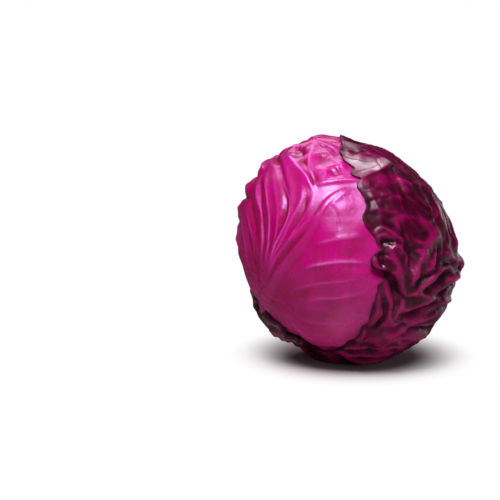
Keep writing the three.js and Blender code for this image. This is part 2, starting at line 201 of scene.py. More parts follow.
# Folds of the outer leaf, in the rows of FRONT_FOLDS.
OUTER_FOLDS = [
    # the pale top: its lower brink, the crimson line and the notch on it
    (2.4, 8, 2, 1, [(3, 47), (7, 48), (12, 50), (16, 51), (21, 53), (28, 56), (37, 59), (46, 61.5),
        (56, 63.5)]),
    (-0.7, 0.9, 0.9, 2, [(1, 51), (7, 52), (13, 54), (19, 55), (22, 57)]),
    (-1.4, 1.3, 1.3, 2, [(26, 64), (24, 60), (23, 55), (21, 51)]),
    (0.8, 1.8, 2.4, 1, [(-20, 68), (-10, 66), (0, 66), (12, 64), (24, 64), (38, 66)]),
    (-0.9, 1.4, 1.4, 2, [(-14, 63), (-4, 61), (8, 60), (18, 60)]),
    (-1.4, 3.4, 2, 2, [(-16, 74), (0, 73), (16, 72.6), (32, 72)]),
    (0.8, 2.4, 2.4, 2, [(-40, 80), (-10, 81), (30, 80), (50, 78)]),
    # the quilted shoulder: a thin cross ridge, and creases that run down beside the limb
    (1.1, 2.6, 3.4, 1, [(3, 43), (10, 44), (16, 45), (25, 44.5), (34, 43.5), (46, 44), (61, 43), (78, 42)]),
    (0.7, 3, 1.6, 1, [(58, 62), (43, 55), (36, 48), (36, 44), (34, 39), (34, 35), (39, 31), (45, 27)]),
    (-1, 2, 1.4, 2, [(50, 61), (39, 56), (32.5, 49), (32.5, 44), (31, 39), (31, 35), (35, 31)]),
    (1.9, 3, 2.6, 1, [(90, 55), (80, 49), (74, 44), (68, 38), (62, 33), (60, 26), (58, 21), (61, 15),
        (61, 9), (57, 4)]),
    (-1.4, 3, 2.4, 2, [(68, 50), (62, 45), (56, 39), (54, 33), (53, 27), (51, 20), (54, 13), (54, 8)]),
    (1.6, 2, 2.4, 1, [(92, 28), (84, 22), (78, 16), (76, 11), (72, 6), (74, 0)]),
    (-1.6, 2, 2, 2, [(76, 30), (72, 22), (68, 15), (68, 9)]),
    (1, 1.2, 2, 1, [(42, 38), (44, 34), (46, 30), (51, 29), (55, 30)]),
    (0.9, 1.2, 2, 1, [(39, 29), (43, 27), (48, 25), (54, 22)]),
    (0.9, 3, 3, 1, [(18, 52), (17, 48), (19, 44), (22, 39), (21, 34), (20, 29)]),
    (0.8, 2.4, 3, 1, [(5, 37), (10, 36), (16, 37), (24, 36), (31, 34)]),
    (0.9, 2.4, 3, 1, [(5, 28), (9, 29), (14, 29), (20, 27), (27, 25), (35, 23), (43, 19), (52, 14)]),
    (0.7, 2.4, 2.4, 1, [(28, 43), (27, 37), (27, 31), (28, 25), (32, 20), (37, 13)]),
    (0.7, 2, 2.4, 1, [(8, 40), (10, 35), (12, 30), (13, 25), (12, 20)]),
    # the glinting ridge in the middle, the creases beside it, and the knobs under it
    (1.5, 1, 2.6, 1, [(9, 18), (12, 20), (15, 20), (17, 18), (19, 16), (22, 14), (26, 12)]),
    (-1.7, 1.4, 1, 2, [(13, 23), (17, 21), (20, 18.6), (23, 16)]),
    (-1.4, 1.2, 1.4, 2, [(24, 25), (24, 20), (25, 16), (25.5, 11), (27, 6)]),
    (1, 1.3, 2.2, 1, [(8, 13), (11, 15.5), (15, 16.5), (18, 13)]),
    (-1.3, 1.8, 1.8, 2, [(11, 12), (15, 13), (19, 12)]),
    (1.5, 1.3, 2, 1, [(14, 7), (17, 8.6), (20, 11), (23, 8.6), (24, 5)]),
    (1, 1.4, 2.2, 1, [(30, 14), (33, 11), (38, 10), (44, 12), (50, 12)]),
    (-1.5, 2.2, 2.2, 2, [(29, 10), (28, 5), (28, 0), (27, -4)]),
    # the bright bulge, the glinting fold beside it, and the dark facet at its right
    (2, 3.4, 2.6, 1, [(38, 8), (34, 4), (31.5, 0), (30, -4), (28.5, -8), (26.5, -12)]),
    (0.8, 1.4, 1.6, 1, [(33, 4), (36, 1), (37, -3), (36, -7)]),
    (1.5, 1.1, 1.8, 1, [(45.5, 7), (44, 4), (42.5, 1), (40, -1.6), (36, -5)]),
    (-1.8, 2.6, 2.2, 2, [(49, 9), (48, 4), (47, 0), (45, -3)]),
    (1.6, 2, 2.6, 1, [(55, 10), (57, 5), (60, 1), (67, -2), (80, -5)]),
    (-1.6, 2.2, 2.2, 2, [(49, -2.4), (54, -2.6), (60, -2), (66, -5)]),
    # the overhanging brink and the recess under it
    ((1.6, -3.8), 5, 5, 2, [(6, 0.6), (10, -1), (12, -1.4), (15, -2), (18, -4), (20, -7), (21, -9),
        (22, -12), (23.4, -15), (26, -16)]),
    (0.9, 2.2, 2.4, 1, [(9, 4), (14, 5), (18, 4), (21, 0), (23, -4), (25, -9)]),
    (-1.4, 1.6, 1.6, 2, [(12, 8), (11, 2), (13, 0)]),
    (-1.8, 2, 2, 2, [(18, -8), (20, -13), (21, -18), (21.5, -24)]),
    # the crumples that fan out to the lower right
    (2.8, 1.7, 2.6, 1, [(15, -10), (15, -13), (17, -17), (17.4, -20), (17, -23), (17.6, -26), (19, -29),
        (22, -30.6), (26, -30.8)]),
    (-3.2, 1.2, 2, 2, [(15.4, -17), (15.8, -21), (16, -26), (15.2, -29), (13, -32.5), (10.4, -35.6)]),
    (1.3, 2, 3, 1, [(10, -10), (11, -15), (11, -21), (10, -27), (8, -33)]),
    (1.5, 1.1, 2.2, 1, [(20, -28), (22, -24.4), (23, -22.4), (24, -19), (26, -16.8)]),
    (2.2, 1.5, 4.4, 1, [(24, -15.8), (28, -14.4), (32, -14.2), (36, -15), (40, -17), (46, -19.4),
        (53, -21)]),
    (1.8, 2.6, 1.3, 1, [(23, -21), (26, -23), (29, -23), (32, -22), (35, -21.4), (38, -20.4), (44, -19.6)]),
    (-5.4, 2, 2.4, 2, [(25, -28.4), (29, -26.6), (31, -26.2), (35, -26), (37, -25), (40, -23.4), (44, -22),
        (51, -21)]),
    (2.6, 1.2, 3.4, 1, [(29, -35), (31, -33), (32, -31), (34, -29.4), (37, -28.6), (42, -29), (48, -28.4),
        (54, -26.6), (62, -25)]),
    (2.4, 1.2, 2.4, 1, [(18, -38.4), (20.4, -37.4), (23, -36.2), (27, -35.2), (29, -34.6), (32, -33)]),
    (-3, 1.3, 1.3, 2, [(18, -34.8), (23, -33.4), (27, -32.8), (30, -31.4)]),
    (-5, 1.7, 2.2, 2, [(26, -40.4), (30, -38.4), (33, -37.2), (36, -36.4), (40, -36.2), (46, -37),
        (55, -39), (66, -41)]),
    (2, 1.8, 3.4, 1, [(42, -33.6), (47, -34.4), (52, -32.6), (56, -30), (63, -28.6), (76, -28)]),
    (2, 2.4, 2.8, 2, [(45, -24.4), (50, -23), (56, -22.8), (64, -23.6), (76, -24.6)]),
    (-1.6, 2, 2, 2, [(50, -27.4), (57, -25.8), (67, -26.4)]),
    (2.4, 2.4, 3.4, 2, [(29, -15), (33, -12), (37, -9.6), (43, -6.6), (49, -4.4), (55, -4)]),
    (-1.4, 1.8, 1.8, 2, [(30, -10), (34, -7.6), (39, -5.2), (44, -3)]),
    (-2.2, 2, 2, 2, [(35, -14.6), (41, -12.3), (47, -10.2), (54, -8.6), (62, -7)]),
    (2.5, 2.8, 2.4, 2, [(43, -16.4), (47, -15), (52, -13.6), (59, -12), (68, -11.6), (78, -11)]),
    (-2.8, 1.8, 2, 2, [(46, -18.6), (55, -17.2), (61, -16.2), (71, -15.4), (82, -15)]),
    (3, 4.6, 4.6, 2, [(72, -7), (80, -6), (90, -5)]),
    # lower folds
    (1.8, 1.6, 2.2, 1, [(12, -40.8), (16, -40), (20, -39), (24, -39), (30, -40), (37, -41.2), (46, -43),
        (55, -42.6), (66, -44)]),
    (-3, 1.5, 1.8, 2, [(18, -46), (21, -43.8), (25, -42.8), (30, -44)]),
    (1.9, 1.4, 1.9, 1, [(11, -46.6), (15, -45.8), (18, -44.8), (21, -42.4), (25, -41.4), (30, -43.2),
        (35, -45.6), (44, -46.4)]),
    (-3, 1.5, 1.7, 2, [(20, -51.6), (24, -49.6), (28, -48), (33, -47), (39, -47), (47, -48.6)]),
    (-2.6, 1.4, 1.6, 2, [(4, -50.4), (9, -51.4), (13, -52.4), (18, -53.6)]),
    (-2.2, 1.5, 1.6, 2, [(-12, -52), (-6, -53), (-1, -54.4)]),
    (1.4, 1.4, 2.2, 1, [(-16, -54), (-6, -56.6), (4, -56), (14, -56.6), (26, -55), (38, -53.4)]),
    (2.2, 2.2, 1.4, 1, [(-14, -57.6), (-3, -60), (4, -63.6), (10, -64.4), (18, -61.6), (24, -59.2),
        (32, -59.4), (40, -57.4)]),
    (-2.4, 1.6, 2.2, 2, [(-10, -62.4), (-3, -65), (8, -68.6), (18, -69.4), (27, -66.4), (35, -64.2),
        (43, -62)]),
    (1.4, 1.1, 1.3, 1, [(2, -44.4), (3.6, -41), (5, -37), (5.4, -33.6)]),
    (-1.8, 1.2, 1.2, 2, [(-4, -46.4), (0, -45.2), (3, -43.6), (7, -39)]),
    (1.2, 1.3, 1.8, 1, [(-10, -50), (-2, -49), (5, -48), (12, -48.4)]),
]

# Lines on the pale top of the outer leaf: its lower brink, and the creases, where the pale is taken out as a
# painted shade.
TOP_BRINK = OUTER_FOLDS[0][-1]
TOP_SHADED_CREASES = [OUTER_FOLDS[k][-1] for k in (1, 2, 4)]

# Swellings and hollows of the outer leaf between its folds, in the rows of LUMPS: hollows also get a painted
# shade, swellings a painted highlight.
OUTER_LUMPS = [
    (22, 41, -0.8, 5.5), (23, 33, -0.8, 5), (29, 29, -0.8, 5), (29, 38, -0.7, 4), (37, 31, -0.8, 5),
    (49, 39, -0.9, 6), (12, 33, -1, 6), (12, 25, -0.9, 5), (6, 22.5, -0.6, 4), (33, 16, -1, 6),
    (26, 20, -0.7, 4), (46, 24, -0.9, 5), (26, 9, -0.9, 4.5), (48, 54, -1, 8), (70, 60, -0.8, 9),
    (10, 47, -0.5, 4), (14, 11, -0.8, 4), (51, 5, -1, 6), (58, -8, -0.8, 5), (28, -19, -0.7, 5),
    (40, -19.5, -0.6, 5), (57, -36, -0.8, 7), (12, -30, -0.6, 6), (70, 12, -0.8, 6), (24, -10, -0.6, 4),
    (64, 22, -0.7, 6), (13, 28.5, 0.5, 3), (9, 37, 0.4, 4), (18, 37, 0.4, 4), (7, 27.5, 0.4, 3),
    (26, 24, 0.7, 5), (38, 23, 0.6, 5), (44, 18, 0.6, 5), (27, 35, 0.5, 4), (39, 9.5, 0.8, 4),
    (22, 9, 0.6, 3), (33, 2, 0.9, 6), (30, -6, 0.6, 4), (42, -1, 0.5, 4), (45, 30, 0.4, 3),
    (55, 14, 0.5, 5), (47, -28, 0.5, 4), (25, -40, 0.4, 4), (52, -44, 0.4, 6), (33, 46, 0.4, 5),
    (60, 47, 0.4, 6), (10, 3, 0.4, 4), (22, -35, 0.5, 4), (12, -42, 0.4, 4),
]

# Where the top and the shoulder of the outer leaf are blushed magenta, in the rows of LUMPS.
TOP_BLUSH = [
    (10, 67, 1, 5), (30, 68, 1, 6), (48, 68, 1, 5), (66, 58, 1, 5), (4, 46, 1, 3), (18, 46, 1, 4),
    (34, 47, 1, 4),
]

# Where the top of the outer leaf is pale with wax and a painted sheen of the light above, in the rows of
# LUMPS: below zero the pale is thinner.
PALE_PATCHES = [
    (3, 57, 1, 6), (13, 58, 1, 6.5), (24, 58, 1, 6), (40, 61.5, 1.2, 4.5), (56, 61, 0.7, 3.5),
    (-8, 60, 0.5, 4), (-10, 77, 0.7, 4), (12, 67, -0.8, 4), (30, 68, -0.8, 4), (20, 52.5, 0.5, 2),
    (8, 62, -0.4, 2), (18, 60.5, -0.5, 1.6),
]

# Tint of the light mirrored head-on by waxy leaf skin: violet on fresh leaves, paler on the weathered ones.
VIOLET_GLOSS = (0.66, 0.44, 1.0)
PALE_GLOSS = (0.92, 0.68, 0.84)

# Colours that are no setting, as displayed: a painted highlight on the ridges of the trimmed leaf bases, also
# their tone away from the stalk, and the brown of the stalk.
BASE_RIDGE_LIGHT = (0.50, 0.08, 0.30)
STALK_BROWN = (0.55, 0.44, 0.33)

# ---------------------------------------------------------------- the studio, in metres and degrees
CAMERA_TILT = 10.0
CAMERA_DISTANCE = 1.2
VIEW_WIDTH = 0.347
SENSOR_WIDTH = 36.0  # in mm
AIM_LEFT = 0.0701
AIM_DOWN = 0.00139
FLOOR_RADIUS = 12.0
FLOOR_RINGS = 24
FLOOR_SPOKES = 64


# ---------------------------------------------------------------- shape helpers
def unit(v):
    """Each vector divided by its length."""
    return v / np.linalg.norm(v, axis=-1, keepdims=True)


def compass(bearing, elevation):
    """Unit vector at a bearing from the front, -Y, towards +X, and an elevation above the level, in
    degrees."""
    a, e = np.radians(bearing), np.radians(elevation)
    return np.stack([np.sin(a) * np.cos(e), -np.cos(a) * np.cos(e), np.sin(e)], axis=-1)


STALK_WAY = unit(np.array([-1.0, 0.0, -1.0]))
FRONT_WAY = np.array([0.0, -1.0, 0.0])
UNDER_WAY = unit(np.array([1.0, 0.0, -1.0]))
CAMERA_SIDE = unit(np.array([0.0, -1.0, 0.17]))


def head_direction(from_stalk, around):
    """Unit vector at an angle from the stalk, turned round the stalk from the front towards the underside."""
    a, p = math.radians(from_stalk), math.radians(around)
    return math.cos(a) * STALK_WAY + math.sin(a) * (math.cos(p) * FRONT_WAY + math.sin(p) * UNDER_WAY)


def smooth(x, low, high):
    """0 below low, 1 above high, and 3t^2 - 2t^3 between them."""
    t = np.clip((x - low) / (high - low), 0.0, 1.0)
    return t * t * (3.0 - 2.0 * t)


def angle_between(d, way):
    """Degrees between each direction and one way."""
    return np.degrees(np.arccos(np.clip(d @ way, -1.0, 1.0)))


def lumps(d, rows):
    """Sum over the rows of height exp(-(angle/spread)^2), where the angle is from the row's own way."""
    total = np.zeros(d.shape[:-1])
    for bearing, elevation, height, spread in rows:
        total += height * np.exp(-((angle_between(d, compass(bearing, elevation)) / spread) ** 2))
    return total


def skin_radius(d):
    """Radius of the whole head: a ball with its swellings and hollows."""
    return HEAD_RADIUS + lumps(d, LUMPS)


def closed_reach(outline, degrees):
    """Closed cubic Hermite curve through the outline's points, each slope taken from the points on both
    sides."""
    a = np.array([p[0] for p in outline], float)
    r = np.array([p[1] for p in outline], float)
    a_all = np.concatenate([[a[-1] - 360.0], a, [a[0] + 360.0, a[1] + 360.0]])
    r_all = np.concatenate([[r[-1]], r, [r[0], r[1]]])
    slopes = (r_all[2:] - r_all[:-2]) / (a_all[2:] - a_all[:-2])
    a_mid, r_mid = a_all[1:-1], r_all[1:-1]
    x = np.mod(degrees, 360.0)
    i = np.clip(np.searchsorted(a_mid, x, side="right") - 1, 0, len(a_mid) - 2)
    step = a_mid[i + 1] - a_mid[i]
    t = (x - a_mid[i]) / step
    return (
        (2 * t**3 - 3 * t**2 + 1) * r_mid[i]
        + (t**3 - 2 * t**2 + t) * step * slopes[i]
        + (-2 * t**3 + 3 * t**2) * r_mid[i + 1]
        + (t**3 - t**2) * step * slopes[i + 1]
    )


def ripple(d, waves, scale, seed):
    """Soft lumps: a sum of sines along random ways, all of about one wavelength in mm. It lies mostly between
    -1 and 1."""
    rng = np.random.default_rng(seed)
    ways = unit(rng.normal(size=(waves, 3)))
    lengths = scale * rng.uniform(0.7, 1.4, waves)
    starts = rng.uniform(0, 2 * math.pi, waves)
    total = np.zeros(d.shape[:-1])
    for way, length, start in zip(ways, lengths, starts):
        total += np.sin((d @ way) * HEAD_RADIUS * 2 * math.pi / length + start)
    return total / math.sqrt(waves * 0.5) * 0.5


def taut(d, waves, scale, seed):
    """Crest lines with hollows between them, as on cloth pulled tight: 1 - 2|r|, where r is a ripple whose
    ways are bent by another, with its crests rounded."""
    bends = np.stack([ripple(d, 6, 2.2 * scale, seed + k) for k in (1, 2, 3)], axis=-1)
    bent = d + 0.10 * bends * scale / 30.0
    return 1 - 2 * np.sqrt(ripple(bent, waves, scale, seed) ** 2 + 0.0025)


def crumpled(d):
    """The outer leaf's own skin: its swellings and hollows, and three sizes of taut crest lines."""
    lines = 0.55 * taut(d, 7, 44, 21) + 0.32 * taut(d, 8, 23, 22) + 0.16 * taut(d, 9, 12, 23)
    return lines + lumps(d, OUTER_LUMPS)


def facets(d):
    """Small taut crest lines, which break the crown of the head and its bloom into facets."""
    return taut(d, 9, 13, 24)


def cells(u, v, size, seed):
    """Distances from each point to the nearest and second nearest seed of a jittered square grid."""
    cu, cv = np.floor(u / size), np.floor(v / size)
    first = np.full(u.shape, 1e9)
    second = np.full(u.shape, 1e9)
    for du in (-1, 0, 1):
        for dv in (-1, 0, 1):
            a, b = cu + du, cv + dv
            h1 = np.mod(np.sin(a * 127.1 + b * 311.7 + seed) * 43758.545, 1.0)
            h2 = np.mod(np.sin(a * 269.5 + b * 183.3 + seed * 1.7) * 24634.634, 1.0)
            gap = np.hypot((a + 0.15 + 0.7 * h1) * size - u, (b + 0.15 + 0.7 * h2) * size - v)
            second = np.minimum(second, np.maximum(first, gap))
            first = np.minimum(first, gap)
    return first, second


# ---------------------------------------------------------------- lines and folds on the head
def curve_through(points):
    """Smooth path over the ball, near bearings and elevations: a smoothed Catmull-Rom spline of unit vectors,
    with the way along it and the way to its left."""
    p = compass(np.array([q[0] for q in points], float), np.array([q[1] for q in points], float))
    p = np.concatenate([[2 * p[0] - p[1]], p, [2 * p[-1] - p[-2]]])
    pieces = []
    for a, b, c, e in zip(p[:-3], p[1:-2], p[2:-1], p[3:]):
        count = max(3, int(np.linalg.norm(c - b) * HEAD_RADIUS / PATH_STEP))
        t = np.linspace(0, 1, count, endpoint=False)[:, None]
        pieces.append(
            0.5 * (2 * b + (c - a) * t + (2 * a - 5 * b + 4 * c - e) * t**2 + (3 * b - a - 3 * c + e) * t**3)
        )
    path = np.concatenate(pieces + [p[-2][None]])
    for _ in range(PATH_SMOOTHINGS):
        path[1:-1] = 0.25 * path[:-2] + 0.5 * path[1:-1] + 0.25 * path[2:]
    path = unit(path)
    along = unit(np.gradient(path, axis=0))
    return path, along, np.cross(path, along)


def beside(d, points, reach):
    """For the directions within reach of a line: which they are, how far they lie to its left and past its
    ends, in millimetres on the ball, and at what share of its length."""
    path, along, left = curve_through(points)
    flat = d.reshape(-1, 3)
    middle = unit(path.mean(axis=0))
    widest = (path @ middle).min()
    limit = math.cos(min(math.pi, math.acos(max(-1.0, min(1.0, widest))) + reach / HEAD_RADIUS))
    near = np.nonzero(flat @ middle > limit)[0]
    here = flat[near]
    nearest = np.argmax(here.astype(np.float32) @ path.T.astype(np.float32), axis=1)
    offset = here - path[nearest]
    side = np.einsum("ij,ij->i", offset, left[nearest]) * HEAD_RADIUS
    forward = np.einsum("ij,ij->i", offset, along[nearest]) * HEAD_RADIUS
    last = len(path) - 1
    past_end = np.where(nearest == last, np.maximum(forward, 0), 0)
    past = np.where(nearest == 0, np.maximum(-forward, 0), past_end)
    return near, side, past, nearest / last


def fold_heights(d, folds):
    """Height of a set of folds: each is h exp(-|side/width|^power), tapering at both ends, and its two sides
    may differ in width, or in height with a soft step between them."""
    total = np.zeros(d.reshape(-1, 3).shape[0])
    for height, wide_left, wide_right, power, points in folds:
        stepped = isinstance(height, tuple)
        high_left, high_right = height if stepped else (height, height)
        near, side, past, share = beside(d, points, 3.2 * max(wide_left, wide_right) + 2)
        away = np.sqrt(side**2 + CREST_ROUND**2) - CREST_ROUND if power == 1 else np.abs(side)
        left = high_left * np.exp(-((away / wide_left) ** power))
        right = high_right * np.exp(-((away / wide_right) ** power))
        leftness = 1 / (1 + np.exp(-np.clip(side / 0.45, -30, 30))) if stepped else side > 0
        taper = smooth(share, -0.05, 0.24) * smooth(1 - share, -0.05, 0.24)
        taper = taper * np.exp(-((past / min(wide_left, wide_right)) ** 2))
        total[near] += taper * (leftness * left + (1 - leftness) * right)
    return total.reshape(d.shape[:-1])


def crest_lines(d, folds):
    """1 along the top of each taut crest, exp(-(side/width)^2) beside it with the width of a crease, fainter
    on low crests and at the ends."""
    lines = np.zeros(d.reshape(-1, 3).shape[0])
    for height, _, _, power, points in folds:
        if power == 1 and height > 0:
            near, side, past, share = beside(d, points, 3)
            ends = smooth(share, -0.02, 0.3) * smooth(1 - share, -0.02, 0.3) * np.exp(-(past**2))
            here = min(1.0, 0.3 + 0.5 * height) * ends * np.exp(-((side / CREASE_WIDTH) ** 2))
            lines[near] = np.maximum(lines[near], here)
    return lines.reshape(d.shape[:-1])


def along_line(d, points):
    """1 on a line over the ball, exp(-(side/width)^2) beside it with the width of a crease, ending softly
    past its ends."""
    line = np.zeros(d.reshape(-1, 3).shape[0])
    near, side, past, _ = beside(d, points, 3 * CREASE_WIDTH)
    line[near] = np.exp(-((side / CREASE_WIDTH) ** 2) - past**2)
    return line.reshape(d.shape[:-1])


def above_brink(d):
    """1 above the brink of the outer leaf's pale top, 0 below it."""
    above = np.zeros(d.reshape(-1, 3).shape[0])
    near, side, _, _ = beside(d, TOP_BRINK, 40)
    above[near] = smooth(side, -0.6, 0.8)
    return above.reshape(d.shape[:-1])


# ---------------------------------------------------------------- leaves
class Leaf:
    """One leaf of the head: its middle, at an angle from the stalk and round it, its outline, how ragged its
    margin is, and the gap between it and the leaf under it."""

    def __init__(self, name, middle, around, outline, ragged, seed, gap=LEAF_GAP):
        self.name, self.outline, self.gap, self.ragged, self.seed = name, outline, gap, ragged, seed
        self.trimmed = gap == STUMP_GAP
        self.centre = head_direction(middle, around)
        self.tipward = head_direction(middle + 90, around)
        self.leftward = np.cross(self.centre, self.tipward)

    def reach(self, degrees):
        """The outline plus a ragged margin of a few sines."""
        a = np.radians(degrees)
        rng = np.random.default_rng(self.seed)
        rough = np.zeros(np.shape(degrees))
        for waves, share in ((9, 0.9), (17, 0.7), (31, 0.5), (53, 0.4), (83, 0.3)):
            rough = rough + share * np.sin(waves * a + rng.uniform(0, 6.28)) * (
                0.6 + 0.4 * np.sin(3 * a + rng.uniform(0, 6.28))
            )
        return closed_reach(self.outline, degrees) + self.ragged * rough

    def past(self, d):
        """Degrees beyond the margin, negative inside the leaf."""
        turn = np.degrees(np.arctan2(d @ self.leftward, d @ self.tipward))
        return angle_between(d, self.centre) - self.reach(turn)

    def grid(self, n):
        """An n by n square grid pressed into the leaf's outline: directions, margin distance, the flat leaf
        coordinates, across to the left and up to the tip, and the length of its foot, all in mm."""
        line = np.linspace(-1, 1, n)
        x, y = np.meshgrid(line, line, indexing="ij")
        across, up = x * np.sqrt(1 - y * y / 2), y * np.sqrt(1 - x * x / 2)
        turn = np.arctan2(across, up)
        share = np.hypot(across, up)
        reach = self.reach(np.degrees(turn))
        distance = np.radians(share * reach)[..., None]
        sideways = np.cos(turn)[..., None] * self.tipward + np.sin(turn)[..., None] * self.leftward
        return {
            "way": self.centre * np.cos(distance) + sideways * np.sin(distance),
            "margin": (1 - share) * reach * MM_PER_DEGREE,
            "u": share * reach * MM_PER_DEGREE * np.sin(turn),
            "v": share * reach * MM_PER_DEGREE * np.cos(turn),
            "foot": float(closed_reach(self.outline, 180.0)) * MM_PER_DEGREE,
        }


def turned(place):
    """How far round the stalk the leaf in this place grows."""
    return 100.0 - (place - 3) * TURN_BETWEEN_LEAVES


# From the outside in.
LEAVES = {
    leaf.name: leaf
    for leaf in (
        Leaf("leaf_stump_1", 20, turned(0) - 360, STUMP_OUTLINE, 0.5, 5, STUMP_GAP),
        Leaf("leaf_stump_2", 20, turned(1) - 360, STUMP_OUTLINE, 0.5, 6, STUMP_GAP),
        Leaf("leaf_stump_3", 20, turned(2), STUMP_OUTLINE, 0.5, 7, STUMP_GAP),
        Leaf("outer_leaf", 130, turned(3), OUTER_OUTLINE, 0.45, 11),
        Leaf("front_leaf", 95, turned(4), FRONT_OUTLINE, 0.9, 12),
        Leaf("rear_leaf", 100, turned(5) + 360, WIDE_OUTLINE, 1.0, 13),
        Leaf("under_leaf", 100, turned(6) + 360, WIDE_OUTLINE, 1.0, 14),
        Leaf("shoulder_leaf", 100, turned(7) + 360, WIDE_OUTLINE, 1.0, 15),
    )
}


def pressed_in(above, d):
    """How far these leaves press the ones under them inwards. A trimmed base takes its whole gap. A wrapped
    leaf takes 0.6 of its gap from its margin on and the rest well inside it, fading out beyond the margin."""
    total = np.zeros(d.shape[:-1])
    for leaf in above:
        past = leaf.past(d)
        if leaf.trimmed:
            total += leaf.gap * (1 - smooth(past, 2.0, 14.0))
        else:
            total += leaf.gap * (0.6 * (1 - smooth(past, 2.0, 20.0)) + 0.4 * (1 - smooth(past, -16.0, -3.0)))
    return total


def folds_of_head(d, sizes):
    """All the folds that the layers share: pleats of the front leaf, crumples of the outer leaf, calmer on
    its upper half, facets on the crown, and soft lumps where neither leaf is drawn in detail."""
    crumples = fold_heights(d, OUTER_FOLDS) + crumpled(d) * smooth(-LEAVES["outer_leaf"].past(d), 0.0, 2.5)
    calm = 1 - 0.6 * smooth(d[..., 2], 0.12, 0.42)
    crown = 0.32 * facets(d) * smooth(d[..., 2], 0.76, 0.86)
    behind = smooth(angle_between(d, CAMERA_SIDE), 78, 100)
    soft = 1.5 * ripple(d, 10, 46, 3) + 0.8 * ripple(d, 12, 21, 4)
    return (
        sizes["pleats"] * fold_heights(d, FRONT_FOLDS)
        + sizes["crumples"] * (calm * crumples + crown)
        + behind * soft
        + (1 - behind) * 0.25 * ripple(d, 12, 18, 5)
    )


def midrib(aside, climb, height):
    """The rib at a distance aside and a share of the climb from foot to tip: a flat-topped band that narrows
    and sinks towards the tip, with a furrow on each side of its foot. Returns heights and a mask."""
    half = 1.0 + 5.0 * (1 - climb) ** 1.5
    rib = 1 / (1 + (aside / half) ** 4)
    furrow = 0.25 * np.exp(-(((aside - half * 1.9) / (half * 0.7)) ** 2)) * (1 - climb)
    return height * ((0.12 + 0.88 * (1 - climb) ** 1.3) * rib - furrow), rib


def side_veins(lane, aside):
    """Veins where the lane is a whole number of spacings and a half, and the skin swelling between them. A
    vein climbs 0.75 + 0.007 aside for each step that it goes aside."""
    slope = np.sqrt(1 + (0.75 + 0.007 * aside) ** 2)
    off = (np.mod(lane / VEIN_SPACING, 1.0) - 0.5) * VEIN_SPACING / slope
    width = 0.55 + 1.0 * np.clip(1 - aside / 90.0, 0, 1)
    vein = np.exp(-((off / width) ** 2)) * np.clip(1 - aside / 115.0, 0, 1) ** 0.7
    between = 1 - np.abs(off) / (0.5 * VEIN_SPACING / slope)
    return vein, 0.5 * (1 - between**2)


def rib_and_veins(one, g, sizes):
    """Midrib, side veins and the small net between them, in the flat leaf. A side vein runs where
    up - 0.75 aside - 0.0035 aside^2 stays the same, the net runs where two cells meet, and the skin swells
    inside each cell. On the camera's side of the outer and the front leaf, folds take the place of all but
    the swelling, and the front leaf's midrib follows its own line. Returns heights and a mask of how ribbed
    each place is."""
    u, v, d = g["u"], g["v"], g["way"]
    wander = 3.0 * np.sin(v / 33.0 + one.seed)
    aside = np.abs(u - wander)
    climb = np.clip((v + g["foot"]) / (2 * g["foot"]), 0, 1)
    rib_height, rib = midrib(aside, climb, sizes["rib"])
    jitter = 4.0 * ripple(d, 8, 45, one.seed + 40)
    lane = v - 0.75 * aside - 0.0035 * aside**2 + jitter + np.where(u > wander, 0.0, 0.45 * VEIN_SPACING)
    vein, pillow = side_veins(lane, aside)
    warp_u, warp_v = u + 2.5 * ripple(d, 8, 26, one.seed + 50), v + 2.5 * ripple(d, 8, 26, one.seed + 60)
    cell = 14.0 if one.name == "outer_leaf" else 9.5
    first, second = cells(warp_u, warp_v, cell, one.seed)
    net = np.exp(-(((second - first) / 1.1) ** 2))
    blister = smooth(second - first, 0.0, 0.65 * cell) - 0.5
    facing = 1 - smooth(angle_between(d, CAMERA_SIDE), 72, 96)
    quilting = {"outer_leaf": 1.2, "front_leaf": 0.12}.get(one.name)
    if quilting is None:
        facing, quilting = np.zeros(u.shape), 0.0
    ribbed = 1 - facing
    heights = ribbed * (rib_height + sizes["vein"] * (vein + 0.5 * pillow + 0.28 * net))
    heights += (ribbed + facing * quilting) * sizes["vein"] * 0.45 * blister
    mask = ribbed * np.maximum(np.maximum(rib, 0.75 * vein), 0.30 * net)
    if one.name == "front_leaf":
        near, height, band = front_rib(d, sizes["rib"])
        heights.reshape(-1)[near] += facing.reshape(-1)[near] * height
        flat_mask = mask.reshape(-1)
        flat_mask[near] = np.maximum(flat_mask[near], facing.reshape(-1)[near] * band)
    return heights, mask


def front_rib(d, height):
    """The midrib of the front leaf along its line: a band of height exp(-|side/width|^4), high and wide at
    its foot. Returns which directions it reaches, and its height and mask there."""
    near, side, past, share = beside(d, FRONT_RIB, 26)
    width = 1.0 + 3.4 * (1 - share) ** 0.8
    band = np.exp(-np.abs(side / width) ** 4.0) * np.exp(-((past / 4) ** 2))
    high = height * (0.30 + 0.34 * (1 - share)) * smooth(1 - share, -0.02, 0.25)
    return near, high * band, band * (0.35 + 0.65 * (1 - share))


def petiole_ridges(g, sizes):
    """The cut foot of a leaf: ribs along it, and a torn, sunken end. Returns heights and a mask."""
    u, v = g["u"], g["v"]
    ridges = 0.7 * np.sin(u / 1.9 + 0.6 * np.sin(v / 5.0)) + 0.35 * np.sin(u / 0.9 + 1.0)
    rib = 2.0 * np.exp(-((u / 6.5) ** 2))
    torn = -0.8 * np.exp(-((g["margin"] / 1.2) ** 2))
    mask = 0.5 + 0.5 * np.sin(u / 1.3 + 0.8 * np.sin(v / 4.0))
    return ridges * sizes["vein"] + rib + torn, mask


